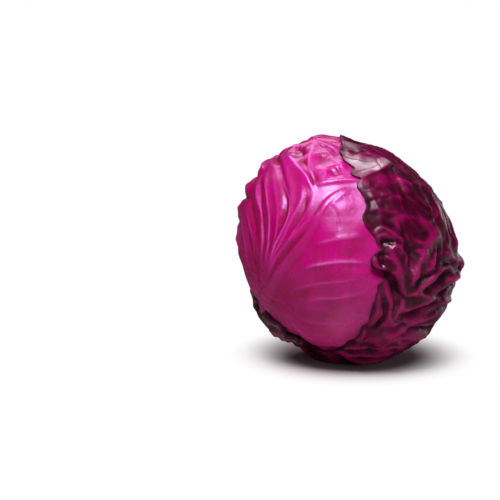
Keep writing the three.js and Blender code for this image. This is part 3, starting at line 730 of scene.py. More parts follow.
def outside(one, g, sizes):
    """Radius of a leaf's outer face: the head's skin with its folds, never below the table, less the room
    that the leaves above take, plus the leaf's own ribs, veins and curled margin. Returns it with a mask of
    the ribs, and with the relief alone."""
    d = g["way"]
    order = list(LEAVES.values())
    above = order[: order.index(one)]
    base_room = pressed_in([leaf for leaf in above if leaf.trimmed], d)
    leaf_room = pressed_in([leaf for leaf in above if not leaf.trimmed], d)
    folds = folds_of_head(d, sizes)
    if one.trimmed:
        own, mask = petiole_ridges(g, sizes)
        folds = 0.4 * folds
    else:
        own, mask = rib_and_veins(one, g, sizes)
    lift = 0.35 + 0.65 * ripple(d, 10, 30, one.seed + 70)
    curl = sizes["curl"] * np.exp(-((g["margin"] / 2.6) ** 2)) * lift
    covered = np.clip(leaf_room / LEAF_GAP, 0, 1)
    radius = skin_radius(d) + folds + own * (1 - 0.8 * covered) + curl - base_room
    down = -d[..., 2]
    table = np.where(down > 0.05, CENTRE[2] / np.maximum(down, 0.05), 1e9)
    return np.minimum(radius, table - 0.02) - leaf_room, mask, folds + own


# ---------------------------------------------------------------- meshes
def lowest_near(a, steps):
    """Each value replaced by the lowest one within so many grid steps."""
    for axis in (0, 1):
        best = a.copy()
        for k in range(1, steps + 1):
            for shift in (-k, k):
                moved = np.roll(a, shift, axis=axis)
                edge = [slice(None)] * 2
                edge[axis] = slice(0, k) if shift > 0 else slice(-k, None)
                moved[tuple(edge)] = a[tuple(edge)]
                best = np.minimum(best, moved)
        a = best
    return a


def softened(a):
    """Each value averaged with its neighbours one, two and four grid steps away, along both axes."""
    for axis in (0, 1):
        for step in (1, 2, 4):
            a = (a + np.roll(a, step, axis=axis) + np.roll(a, -step, axis=axis)) / 3
    return a


def ring_of(index):
    """The border of a square index grid as one closed ring, from its first corner round."""
    return np.concatenate([index[:-1, 0], index[-1, :-1], index[:0:-1, -1], index[0, :0:-1]])


def quads(index):
    """Faces of a grid of vertex numbers."""
    return np.stack([index[:-1, :-1], index[:-1, 1:], index[1:, 1:], index[1:, :-1]], axis=-1).reshape(-1, 4)


def tube(index):
    """Faces of a grid of vertex numbers whose rows are closed rings. They face the other way from quads."""
    return quads(np.concatenate([index, index[:, :1]], axis=1))[:, ::-1]


def fan(ring, tip):
    """Triangles between a closed ring and one vertex."""
    return np.stack([np.full(len(ring), tip), ring, np.roll(ring, -1)], axis=-1)


def between_rings(a, b):
    """Faces between two closed rings with the same number of vertices."""
    return np.stack([a, np.roll(a, -1), np.roll(b, -1), b], axis=-1)


def rim_strip(ring, inner, coarse):
    """Faces between a fine closed ring and the border of a coarser grid: each vertex of the ring belongs to
    the nearest coarse one, and a four-sided face bridges the step from one coarse vertex to the next."""
    per_side = len(ring) // 4
    k = np.arange(per_side + 1)
    mates = np.clip(np.rint((k - coarse) / coarse), 0, len(inner) - 1).astype(int)
    fours, threes = [], []
    for s, side in enumerate((inner[:, 0], inner[-1, :], inner[::-1, -1], inner[0, ::-1])):
        fine = ring[(s * per_side + k) % len(ring)]
        a, b, c, e = fine[:-1], fine[1:], side[mates[:-1]], side[mates[1:]]
        same = c == e
        threes.append(np.stack([a, b, c], axis=-1)[same])
        fours.append(np.stack([a, b, e, c], axis=-1)[~same])
    return fours, threes


def shell(g, radius, thick, coarse=4):
    """A closed leaf: the fine outer face at its radius, a rounded rim, and a coarser inner face that lies a
    thickness under the lowest outer point near each of its corners. Returns its points, its faces, and the
    function that carries values from the grid to the points."""
    d = g["way"]
    n = len(d)
    index = np.arange(n * n).reshape(n, n)
    ring = ring_of(index)
    ring_d, ring_r, ring_thick = d.reshape(-1, 3)[ring], radius.reshape(-1)[ring], thick.reshape(-1)[ring]
    middle = d[n // 2, n // 2]
    outward = unit(ring_d - middle * (ring_d @ middle)[:, None])
    outward = unit(outward - ring_d * np.einsum("ij,ij->i", outward, ring_d)[:, None])
    lip = CENTRE + ring_d * (ring_r - 0.45 * ring_thick)[:, None] + outward * 0.30 * ring_thick[:, None]
    back = CENTRE + ring_d * (ring_r - ring_thick)[:, None]
    pick = slice(coarse, n - coarse, coarse)
    inner_r = lowest_near(radius, coarse)[pick, pick] - thick[pick, pick]
    inner = CENTRE + d[pick, pick] * inner_r[..., None]
    outer = CENTRE + d * radius[..., None]
    points = np.concatenate([outer.reshape(-1, 3), lip, back, inner.reshape(-1, 3)])
    lip_ring = n * n + np.arange(len(ring))
    back_ring = lip_ring + len(ring)
    inner_index = (n * n + 2 * len(ring) + np.arange(inner_r.size)).reshape(inner_r.shape)
    strip_fours, strip_threes = rim_strip(back_ring, inner_index, coarse)
    rim = [between_rings(ring, lip_ring), between_rings(lip_ring, back_ring)]
    fours = np.concatenate([quads(index), *rim, quads(inner_index)[:, ::-1], *strip_fours])

    def carry(values, on_rim=None):
        """Values of the grid on every point of the shell. The rim may have one value of its own."""
        flat = values.reshape(-1, *values.shape[2:])
        side = flat[ring] if on_rim is None else np.full(len(ring), on_rim)
        return np.concatenate([flat, side, side, values[pick, pick].reshape(-1, *values.shape[2:])])

    return points, fours, np.concatenate(strip_threes), carry


def make_mesh(name, points, fours, threes, fields, flat):
    """Puts arrays into a mesh in metres, with one float attribute per field and a UV map that holds the flat
    leaf coordinates."""
    mesh = bpy.data.meshes.new(name)
    corners = np.concatenate([fours.reshape(-1), threes.reshape(-1)]).astype(np.int32)
    starts = np.concatenate([np.arange(len(fours)) * 4, len(fours) * 4 + np.arange(len(threes)) * 3])
    mesh.vertices.add(len(points))
    mesh.vertices.foreach_set("co", (points * MM).astype(np.float32).reshape(-1))
    mesh.loops.add(len(corners))
    mesh.loops.foreach_set("vertex_index", corners)
    mesh.polygons.add(len(starts))
    mesh.polygons.foreach_set("loop_start", starts.astype(np.int32))
    mesh.update(calc_edges=True)
    mesh.validate()
    for key, values in fields.items():
        mesh.attributes.new(key, "FLOAT", "POINT").data.foreach_set("value", values.astype(np.float32))
    uv = mesh.uv_layers.new(name="flat_leaf")
    uv.data.foreach_set("uv", flat[corners].astype(np.float32).reshape(-1))
    mesh.shade_smooth()
    piece = bpy.data.objects.new(name, mesh)
    bpy.context.scene.collection.objects.link(piece)
    return piece


def outer_leaf_masks(g, edge):
    """Masks of the outer leaf: pale with wax above its brink, partly a painted sheen of the light above,
    taken out along the creases as a painted shade; a painted highlight on crests, with the magenta blushes;
    painted shade in hollows; a faint painted reflection of the floor low on the right; and a darker margin,
    partly dried and partly a painted shadow along it."""
    d = g["way"]
    skin = crumpled(d)
    # Wax and a painted sheen of the light above; the facets' crests get more of it and their hollows less, as
    # painted light and shade.
    bloom_and_sheen = lumps(d, PALE_PATCHES) * above_brink(d) * (0.80 + 0.32 * facets(d))
    # Painted shade along the creases of the pale top.
    for crease in TOP_SHADED_CREASES:
        bloom_and_sheen = bloom_and_sheen * (1 - 0.8 * along_line(d, crease))
    # Painted highlight on the crests of the skin and of its folds, then the magenta blushes.
    bright = np.maximum(smooth(skin, 0.15, 1.2), 0.5 * crest_lines(d, OUTER_FOLDS))
    for blush in TOP_BLUSH:
        bright = np.maximum(bright, lumps(d, [blush]))
    return {
        # The faint pale low on the right is a painted reflection of the floor.
        "pale": bloom_and_sheen + lumps(d, [(40, -28, 0.05, 26)]),
        "bright": bright,
        # Painted shade in the hollows of the skin.
        "shade_and_dark_tone": smooth(-skin, 0.0, 1.0) * (1 - bright),
        # A darker band along the margin: a dried margin and a painted shadow along it.
        "edge": np.maximum(edge, 0.35 * np.exp(-((g["margin"] / 3.5) ** 2))),
    }


def front_leaf_masks(g, edge):
    """Masks of the front leaf: brighter on crests, a painted highlight, and by its tones; darker between
    them, a painted shade, and by its crimson tones; paler veins in its middle with a painted highlight along
    their crests; a faint painted sheen low down, the reflection of the pale floor; and a pale, streaked foot
    round the stalk."""
    d = g["way"]
    # Tones: partly the leaf's own uneven colour, partly painted shade in hollows and painted highlight.
    tone = lumps(d, FRONT_TONES) + 0.25 * ripple(d, 14, 11, 21)
    # Crest lines: a painted highlight along the crests of the folds.
    lines = crest_lines(d, FRONT_FOLDS)
    from_stalk = angle_between(d, STALK_WAY)
    foot = 1 - smooth(from_stalk, 26, 50)
    streaks = 0.5 + 0.5 * np.sin(1.7 * from_stalk + 2.4 * ripple(d, 10, 16, 31))
    # The crests of the side veins in the middle: paler, with a painted highlight.
    veins = lines**2 * (1 - smooth(angle_between(d, compass(-8, 0)), 14, 26))
    # A faint pale patch low on the leaf: a painted sheen, the reflection of the pale floor.
    low_floor_sheen = lumps(d, [(-8, -34, 0.10, 18)])
    return {
        # Also pale: the painted highlight along crests and veins.
        "pale": low_floor_sheen + 0.24 * foot * streaks**2 + 0.24 * lines**3 + 0.35 * veins,
        "bright": np.maximum(tone, lines),
        # Painted shade between the crests, also the crimson tones.
        "shade_and_dark_tone": np.maximum(-tone, 0) * (1 - lines),
        "edge": np.maximum(edge, 0.3 * foot * (1 - streaks)),
    }


def leaf_piece(name, n, sizes, material):
    """Builds one leaf as a closed shell on an n by n grid and sets it in the frame."""
    one = LEAVES[name]
    g = one.grid(n)
    radius, rib, relief = outside(one, g, sizes)
    edge = np.exp(-((g["margin"] / 0.9) ** 2))
    bare = np.zeros(radius.shape)
    masks = {"pale": bare, "bright": bare, "shade_and_dark_tone": bare, "edge": edge}
    thick = sizes["thickness"] * (0.55 + 0.45 * smooth(g["margin"], 0.5, 5.0))
    if one.trimmed:
        thick = STUMP_THICKNESS + 1.2 * smooth(-g["v"], -4, 6)
        masks["bright"] = smooth(angle_between(g["way"], STALK_WAY), 16, 30)
    elif name == "outer_leaf":
        masks = outer_leaf_masks(g, edge)
    elif name == "front_leaf":
        masks = front_leaf_masks(g, edge)
    points, fours, threes, carry = shell(g, radius, thick)
    fields = {key: carry(np.clip(masks[key], 0, 1)) for key in ("pale", "bright", "shade_and_dark_tone")}
    fields["rib"] = carry(rib)
    # Relief above its local mean: it paints a highlight on ridges and a shade in folds.
    fields["crest"] = carry(np.clip((relief - softened(relief)) / 0.9, -1, 1))
    fields["edge"] = carry(masks["edge"], on_rim=1.0)
    flat = carry(np.stack([g["u"], g["v"]], axis=-1) * FLAT_SCALE)
    piece = make_mesh(name + "_skinned", points, fours, threes, fields, flat)
    piece.data.materials.append(material)
    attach(piece, "root")
    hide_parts(name)


def stalk_piece(material):
    """The stalk as a profile turned round its axis: a slightly hollowed, ringed and fibrous cut face, a worn
    rim, a fluted side and a small blunt end inside the head. Both ends close on one vertex."""
    end = float(skin_radius(STALK_WAY[None])[0]) - STALK_RECESS
    turn = np.linspace(0, 2 * math.pi, STALK_SPOKES, endpoint=False)[None]
    face = np.linspace(0.02, 1.0, 34)[:, None]
    rim = np.linspace(0, math.pi / 2, 8)[1:, None]
    side = np.linspace(0, 1, 18)[1:, None]
    wobble = 1 + 0.03 * np.sin(3 * turn + 0.5) + 0.02 * np.sin(7 * turn)
    flute = 1 + 0.02 * np.sin(14 * turn)
    fibres = 0.5 + 0.5 * np.sin(41 * turn + 6 * face)
    ring = np.exp(-(((face - 0.62) / 0.05) ** 2))
    dish = -0.9 * (1 - face**2) - 0.35 * ring + 0.22 * (fibres - 0.5) * smooth(face, 0.1, 0.5)
    dish = dish + 0.25 * np.sin(9 * face + 2 * np.sin(2 * turn))
    face_radius = STALK_RADIUS - STALK_BEVEL
    side_radius = STALK_RADIUS * (1 - side) + STALK_END_RADIUS * side
    radius = np.concatenate([
        face * face_radius * wobble,
        (face_radius + STALK_BEVEL * np.sin(rim)) * wobble,
        side_radius * wobble * (flute * (1 - side) + side),
    ])
    level = end + np.concatenate([
        dish,
        -STALK_BEVEL * (1 - np.cos(rim)) + 0 * turn,
        -STALK_BEVEL - (STALK_LENGTH - STALK_BEVEL) * side + 0 * turn,
    ])
    east = unit(np.cross(STALK_WAY, FRONT_WAY))
    north = np.cross(STALK_WAY, east)
    sideways = np.cos(turn)[..., None] * east + np.sin(turn)[..., None] * north
    rings = CENTRE + level[..., None] * STALK_WAY + radius[..., None] * sideways
    tips = [CENTRE + STALK_WAY * (end - 1.0), CENTRE + STALK_WAY * (end - STALK_LENGTH - 1.0)]
    points = np.concatenate([rings.reshape(-1, 3), tips])
    index = np.arange(radius.size).reshape(radius.shape)
    threes = np.concatenate([fan(index[0], radius.size), fan(index[-1], radius.size + 1)[:, ::-1]])
    rib, edge = np.zeros(radius.shape), np.ones(radius.shape)
    rib[: len(face)] = 0.5 * ring + 0.4 * fibres * smooth(face, 0.1, 0.6)
    edge[: len(face)] = smooth(face, 0.86, 1.0)
    on_tips = [0.0, 0.0]
    fields = {"rib": np.append(rib, on_tips), "edge": np.append(edge, on_tips)}
    piece = make_mesh("stalk_cut", points, tube(index), threes, fields, np.zeros((len(points), 2)))
    piece.data.materials.append(material)
    return piece


# ---------------------------------------------------------------- finishes
def linear(colour):
    """A display colour as the shader's linear one."""
    return tuple(((c + 0.055) / 1.055) ** 2.4 if c > 0.04045 else c / 12.92 for c in colour[:3]) + (1.0,)


class Nodes:
    """Short ways to add nodes to one tree. Wherever a node is fed, a socket is linked and a value is set."""

    def __init__(self, tree):
        self.tree = tree

    def feed(self, into, value):
        """Links a socket into an input, or sets a value on it."""
        if isinstance(value, bpy.types.NodeSocket):
            self.tree.links.new(value, into)
        else:
            into.default_value = value

    def add(self, kind, feeds=(), **settings):
        """A node with these settings, and with its inputs fed from pairs of an input's key and its source."""
        node = self.tree.nodes.new(kind)
        for key, value in settings.items():
            setattr(node, key, value)
        for key, value in dict(feeds).items():
            self.feed(node.inputs[key], value)
        return node

    def maths(self, kind, a, b=0.0):
        """One operation on a, or on a and b."""
        return self.add("ShaderNodeMath", {0: a, 1: b}, operation=kind).outputs[0]

    def vector(self, kind, a, b):
        """One operation on two vectors."""
        return self.add("ShaderNodeVectorMath", {0: a, 1: b}, operation=kind).outputs[0]

    def mix(self, factor, a, b):
        """Colour a where the factor is 0, colour b where it is 1."""
        return self.add("ShaderNodeMix", {0: factor, 6: a, 7: b}, data_type="RGBA").outputs[2]

    def blend(self, factor, a, b):
        """Number a where the factor is 0, number b where it is 1."""
        return self.add("ShaderNodeMix", {0: factor, 2: a, 3: b}, data_type="FLOAT").outputs[0]

    def ranged(self, value, low, high, to_low=0.0, to_high=1.0):
        """Takes low to high onto another range with a smooth step, and stays at its ends outside them."""
        feeds = {"Value": value, "From Min": low, "From Max": high, "To Min": to_low, "To Max": to_high}
        return self.add("ShaderNodeMapRange", feeds, interpolation_type="SMOOTHSTEP").outputs["Result"]

    def attribute(self, name):
        """One of the float attributes of the mesh."""
        return self.add("ShaderNodeAttribute", attribute_name=name).outputs["Fac"]

    def place(self):
        """The point in the object's own space."""
        return self.add("ShaderNodeTexCoord").outputs["Object"]


def new_group(name, sockets_in, outputs):
    """An empty shader node group. Returns its nodes, the values it is given, and the sockets that take its
    results."""
    tree = bpy.data.node_groups.new(name, "ShaderNodeTree")
    for label, kind, default in sockets_in:
        socket = tree.interface.new_socket(name=label, in_out="INPUT", socket_type=kind)
        if default is not None:
            socket.default_value = default
    for label in outputs:
        tree.interface.new_socket(name=label, in_out="OUTPUT", socket_type="NodeSocketFloat")
    n = Nodes(tree)
    return n, n.add("NodeGroupInput").outputs, n.add("NodeGroupOutput").inputs


def fine_net_group():
    """Small veins in the flat leaf: the edges of Voronoi cells in two sizes, bent by noise."""
    sockets = [
        ("Flat Leaf", "NodeSocketVector", None),
        ("Cells", "NodeSocketFloat", 22.0),
        ("Bend", "NodeSocketFloat", 0.02),
    ]
    n, given, results = new_group("fine_vein_net", sockets, ["Net"])
    noise = n.add("ShaderNodeTexNoise", {"Scale": 14.0, "Vector": given["Flat Leaf"]}, noise_dimensions="2D")
    centred = n.vector("SUBTRACT", noise.outputs["Color"], (0.5, 0.5, 0.5))
    bend = n.add("ShaderNodeVectorMath", {0: centred, "Scale": given["Bend"]}, operation="SCALE")
    moved = n.vector("ADD", given["Flat Leaf"], bend.outputs[0])
    lines = []
    for factor, width in ((1.0, 0.10), (2.7, 0.13)):
        feeds = {"Vector": moved, "Scale": n.maths("MULTIPLY", given["Cells"], factor)}
        voronoi = n.add("ShaderNodeTexVoronoi", feeds, voronoi_dimensions="2D", feature="DISTANCE_TO_EDGE")
        lines.append(n.ranged(voronoi.outputs["Distance"], 0.0, width, 1.0, 0.0))
    n.feed(results["Net"], n.maths("MAXIMUM", lines[0], n.maths("MULTIPLY", lines[1], 0.5)))


def mottle_group():
    """Soft uneven colour and fine specks: two sizes of noise."""
    sockets = [("Place", "NodeSocketVector", None), ("Size", "NodeSocketFloat", 60.0)]
    n, given, results = new_group("leaf_mottle", sockets, ["Mottle", "Speckle"])
    feeds = {"Detail": 4.0, "Roughness": 0.55, "Vector": given["Place"], "Scale": given["Size"]}
    large = n.add("ShaderNodeTexNoise", feeds)
    feeds = {"Detail": 2.0, "Vector": given["Place"], "Scale": n.maths("MULTIPLY", given["Size"], 22.0)}
    small = n.add("ShaderNodeTexNoise", feeds)
    n.feed(results["Mottle"], n.ranged(large.outputs["Fac"], 0.3, 0.7))
    n.feed(results["Speckle"], n.ranged(small.outputs["Fac"], 0.25, 0.75))


def shared_group(n, name, build, feeds):
    """A node of the group of this name, which is built the first time."""
    if name not in bpy.data.node_groups:
        build()
    return n.add("ShaderNodeGroup", feeds, node_tree=bpy.data.node_groups[name]).outputs


def mottled(n, size=60.0):
    """The outputs of the mottle group, in the object's own space."""
    return shared_group(n, "leaf_mottle", mottle_group, {"Place": n.place(), "Size": size})


def new_finish(name):
    """A new material with a principled shader. Returns it with its nodes, the shader and the output node."""
    material = bpy.data.materials.new(name)
    material.use_nodes = True
    material.node_tree.nodes.clear()
    n = Nodes(material.node_tree)
    shader = n.add("ShaderNodeBsdfPrincipled")
    return material, n, shader, n.add("ShaderNodeOutputMaterial", {"Surface": shader.outputs[0]})


def roughen(n, shader, height, strength, depth):
    """Fine relief on a shader, with its depth in metres."""
    bump = n.add("ShaderNodeBump", {"Strength": strength, "Distance": depth, "Height": height})
    n.feed(shader.inputs["Normal"], bump.outputs[0])


def leaf_finish(name, colours, roughness, net_share, shine, gloss):
    """Leaf skin. Its colours are, in order: painted shade in folds, also a darker tone; body; painted
    highlight on ridges, also a brighter tone; rib and net; wax with a painted sheen; and margin, on the outer
    leaf partly a painted shadow."""
    material, n, shader, _ = new_finish(name)
    shade_and_dark_tone, body, crest, rib, bloom_and_sheen, margin = (linear(colour) for colour in colours)
    flat = n.add("ShaderNodeUVMap", uv_map="flat_leaf").outputs["UV"]
    net = shared_group(n, "fine_vein_net", fine_net_group, {"Flat Leaf": flat})["Net"]
    noise = mottled(n)
    mottle = noise["Mottle"]
    height = n.attribute("crest")
    edge = n.attribute("edge")
    patchy = n.maths("MULTIPLY", n.attribute("pale"), n.ranged(mottle, 0.0, 1.0, 1.0, 0.35))
    # Painted shade in folds, where the relief lies under its local mean.
    colour = n.mix(n.ranged(height, -0.8, 0.05), shade_and_dark_tone, body)
    for mask, share, tint in (
        # Painted highlight on ridges; then the mottle's darker tone; the painted shade mask; the painted
        # highlight and brighter tone of the bright mask.
        (n.ranged(height, 0.1, 0.8), 0.8, crest),
        (mottle, 0.30, shade_and_dark_tone),
        (n.attribute("shade_and_dark_tone"), 0.8, shade_and_dark_tone),
        (n.attribute("bright"), 0.75, crest),
        (net, net_share, rib),
        (n.attribute("rib"), 0.55, rib),
        # Pale wax, partly a painted sheen and a painted reflection.
        (patchy, 0.85, bloom_and_sheen),
        (edge, 0.8, margin),
    ):
        colour = n.mix(n.maths("MULTIPLY", mask, share), colour, tint)
    rough = n.ranged(mottle, 0.0, 1.0, roughness - 0.06, roughness + 0.08)
    rough = n.maths("ADD", rough, n.maths("MULTIPLY", patchy, 0.08))
    rough = n.maths("ADD", rough, n.maths("MULTIPLY", edge, 0.25))
    n.feed(shader.inputs["Base Color"], colour)
    n.feed(shader.inputs["Roughness"], rough)
    n.feed(shader.inputs["IOR"], 1.8)
    n.feed(shader.inputs["Specular IOR Level"], shine)
    n.feed(shader.inputs["Specular Tint"], (*gloss, 1.0))
    relief = n.maths("ADD", n.maths("MULTIPLY", net, 0.25), n.maths("MULTIPLY", noise["Speckle"], 0.10))
    roughen(n, shader, relief, strength=0.5, depth=0.00022)
    return material


def stalk_finish(pale, brown):
    """Cut stalk: pale fibrous face with darker ring and specks, browner at the rim."""
    material, n, shader, _ = new_finish("cut_stalk")
    noise = mottled(n, size=160.0)
    fibre = n.attribute("rib")
    colour = n.mix(n.maths("MULTIPLY", noise["Mottle"], 0.5), linear(pale), linear(brown))
    colour = n.mix(n.maths("MULTIPLY", fibre, 0.5), colour, linear(brown))
    colour = n.mix(n.maths("MULTIPLY", n.attribute("edge"), 0.85), colour, linear([0.6 * c for c in brown]))
    n.feed(shader.inputs["Base Color"], colour)
    n.feed(shader.inputs["Roughness"], n.ranged(noise["Speckle"], 0.0, 1.0, 0.55, 0.8))
    roughen(n, shader, n.maths("ADD", noise["Speckle"], fibre), strength=0.6, depth=0.0003)
    return material


def hidden_leaf_finish(body, rib):
    """The leaves inside the head: magenta with a soft mottle."""
    material, n, shader, _ = new_finish("inner_leaf_skin")
    noise = mottled(n)
    colour = n.mix(n.maths("MULTIPLY", noise["Mottle"], 0.4), linear(body), linear(rib))
    n.feed(shader.inputs["Base Color"], colour)
    n.feed(shader.inputs["Roughness"], n.ranged(noise["Speckle"], 0.0, 1.0, 0.4, 0.55))
    roughen(n, shader, noise["Speckle"], strength=0.4, depth=0.0002)
    return material


# ---------------------------------------------------------------- the studio
def add_camera(scene):
    """A camera in front that looks down by its tilt, and takes in the view's width at the head's distance."""
    tilt = math.radians(CAMERA_TILT)
    up = np.array([0.0, math.sin(tilt), math.cos(tilt)])
    forward = np.array([0.0, math.cos(tilt), -math.sin(tilt)])
    aim = CENTRE * MM - np.array([AIM_LEFT, 0.0, 0.0]) - AIM_DOWN * up
    camera = bpy.data.objects.new("camera", bpy.data.cameras.new("camera"))
    camera.data.sensor_width = SENSOR_WIDTH
    camera.data.lens = SENSOR_WIDTH * CAMERA_DISTANCE / VIEW_WIDTH
    camera.data.clip_end = 50.0
    camera.location = aim - CAMERA_DISTANCE * forward
    camera.rotation_euler = (math.pi / 2 - tilt, 0, 0)
    scene.collection.objects.link(camera)
    scene.camera = camera


def soft_lamp(scene, name, bearing, elevation, distance, size, power):
    """A rectangular lamp in this way from the middle of the head, which it faces."""
    z = compass(bearing, elevation)
    x = unit(np.cross([0.0, 0.0, 1.0], z))
    y = np.cross(z, x)
    place = CENTRE * MM + z * distance
    lamp = bpy.data.lights.new(name, "AREA")
    lamp.shape, lamp.energy = "RECTANGLE", power
    lamp.size, lamp.size_y = size
    holder = bpy.data.objects.new(name, lamp)
    holder.matrix_world = Matrix([(x[i], y[i], z[i], place[i]) for i in range(3)] + [(0, 0, 0, 1)])
    scene.collection.objects.link(holder)
    return holder


def to_the_right(n, x, y, low, high):
    """0.08 on the left of a slanting line and 1 on its right, where x - 0.35y goes from low to high."""
    return n.ranged(n.maths("SUBTRACT", x, n.maths("MULTIPLY", y, 0.35)), low, high, 0.08, 1.0)


def add_room(scene, studio):
    """The room round the head: it looks white to the camera, and lights the head with a low glow behind it on
    the right and a band of bright ceiling."""
    world = bpy.data.worlds.new("studio_room")
    scene.world = world
    world.use_nodes = True
    world.node_tree.nodes.clear()
    n = Nodes(world.node_tree)
    way = n.add("ShaderNodeTexCoord").outputs["Generated"]
    x, y, z = n.add("ShaderNodeSeparateXYZ", {0: way}).outputs
    behind = n.ranged(n.maths("ADD", y, n.maths("MULTIPLY", x, 0.5)), 0.80, 1.08, studio.front_room, 1.0)
    backdrop = n.maths("MULTIPLY", behind, n.ranged(z, 0.0, 0.25, 0.6, 0.03))
    backdrop = n.maths("MULTIPLY", backdrop, to_the_right(n, x, y, -0.15, 0.20))
    from_band = n.maths("ABSOLUTE", n.maths("ADD", x, 0.15))
    band = n.ranged(from_band, 0.15, 0.45, 1.0, 0.1)
    ceiling = n.maths("MULTIPLY", n.ranged(z, 0.3, 1.0, studio.front_room, studio.sky), band)
    seen = n.add("ShaderNodeLightPath").outputs["Is Camera Ray"]
    strength = n.blend(seen, n.maths("MAXIMUM", backdrop, ceiling), 1.0)
    room = n.add("ShaderNodeBackground", {"Color": (1.0, 1.0, 1.0, 1.0), "Strength": strength})
    n.add("ShaderNodeOutputWorld", {"Surface": room.outputs[0]})


def floor_finish(colour, front_room):
    """A pale floor that shows its shadow near the head and is plain white to the camera further off. Glossy
    and clear surfaces mirror it as a dim floor in front and a glow behind on the right."""
    material, n, shader, output = new_finish("pale_floor")
    base = linear(colour)
    grain = n.add("ShaderNodeTexNoise", {"Scale": 30.0, "Vector": n.place()}).outputs["Fac"]
    grained = n.mix(grain, base, (*(0.985 * v for v in base[:3]), 1.0))
    n.feed(shader.inputs["Base Color"], grained)
    n.feed(shader.inputs["Roughness"], 0.8)
    n.feed(shader.inputs["Specular IOR Level"], 0.2)
    # 1 on an ellipse round the resting spot, less inside it and more outside
    centred = n.vector("SUBTRACT", n.place(), (0.0, 0.012, 0.0))
    oval = n.vector("MULTIPLY", centred, (1 / 0.058, 1 / 0.062, 0.0))
    away = n.add("ShaderNodeVectorMath", {0: oval}, operation="LENGTH").outputs["Value"]
    path = n.add("ShaderNodeLightPath").outputs
    mirrored = n.maths("MAXIMUM", path["Is Glossy Ray"], path["Is Transmission Ray"])
    x, y, _ = n.add("ShaderNodeSeparateXYZ", {0: n.place()}).outputs
    ahead = n.ranged(y, -0.34, -0.06, front_room, 0.10)
    ahead = n.maths("MULTIPLY", ahead, n.ranged(x, -0.05, 0.20, 0.4, 2.4))
    beyond = n.maths("MULTIPLY", n.ranged(y, 0.15, 0.6), to_the_right(n, x, y, -0.2, 0.2))
    glow = n.maths("MULTIPLY", n.maths("MAXIMUM", ahead, beyond), n.ranged(away, 0.8, 2.6, 0.06, 1.0))
    white = n.add("ShaderNodeEmission", {"Strength": n.blend(mirrored, 1.0, glow)})
    far_off = n.maths("MAXIMUM", n.ranged(away, 0.72, 1.55), mirrored)
    shown = n.maths("MAXIMUM", path["Is Camera Ray"], mirrored)
    feeds = {0: n.maths("MULTIPLY", shown, far_off), 1: shader.outputs[0], 2: white.outputs[0]}
    n.feed(output.inputs["Surface"], n.add("ShaderNodeMixShader", feeds).outputs[0])
    material.cycles.emission_sampling = "NONE"
    return material


def floor_piece(material):
    """A round floor whose rings widen outwards."""
    rings = np.geomspace(0.05, FLOOR_RADIUS, FLOOR_RINGS)[:, None]
    turn = np.linspace(0, 2 * math.pi, FLOOR_SPOKES, endpoint=False)[None]
    x, y = rings * np.cos(turn), rings * np.sin(turn)
    points = np.concatenate([[[0, 0, 0]], np.stack([x, y, 0 * x], axis=-1).reshape(-1, 3)])
    index = 1 + np.arange(x.size).reshape(x.shape)
    piece = make_mesh("floor", points / MM, tube(index), fan(index[0], 0), {}, np.zeros((len(points), 2)))
    piece.data.materials.append(material)
    return piece


# ---------------------------------------------------------------- settings
class CabbageSizes(bpy.types.PropertyGroup):
    """Sizes of the leaves' relief."""

    leaf_thickness: FloatProperty(
        name="Leaf thickness", description="Thickness of a wrapped leaf", default=0.001, unit="LENGTH"
    )
    rib_height: FloatProperty(
        name="Rib height", description="How far a midrib stands out at its foot",
        default=0.0022, unit="LENGTH",
    )
    vein_height: FloatProperty(
        name="Vein height", description="How far a side vein stands out", default=0.0009, unit="LENGTH"
    )
    margin_curl: FloatProperty(
        name="Margin curl", description="How far leaf margins lift", default=0.0007, unit="LENGTH"
    )
    pleat_depth: FloatProperty(
        name="Pleat depth", description="Depth of the front leaf's pleats", default=1.0, subtype="FACTOR"
    )
    crumple_depth: FloatProperty(
        name="Crumple depth", description="Depth of the outer leaf's crumples", default=1.45, subtype="FACTOR"
    )


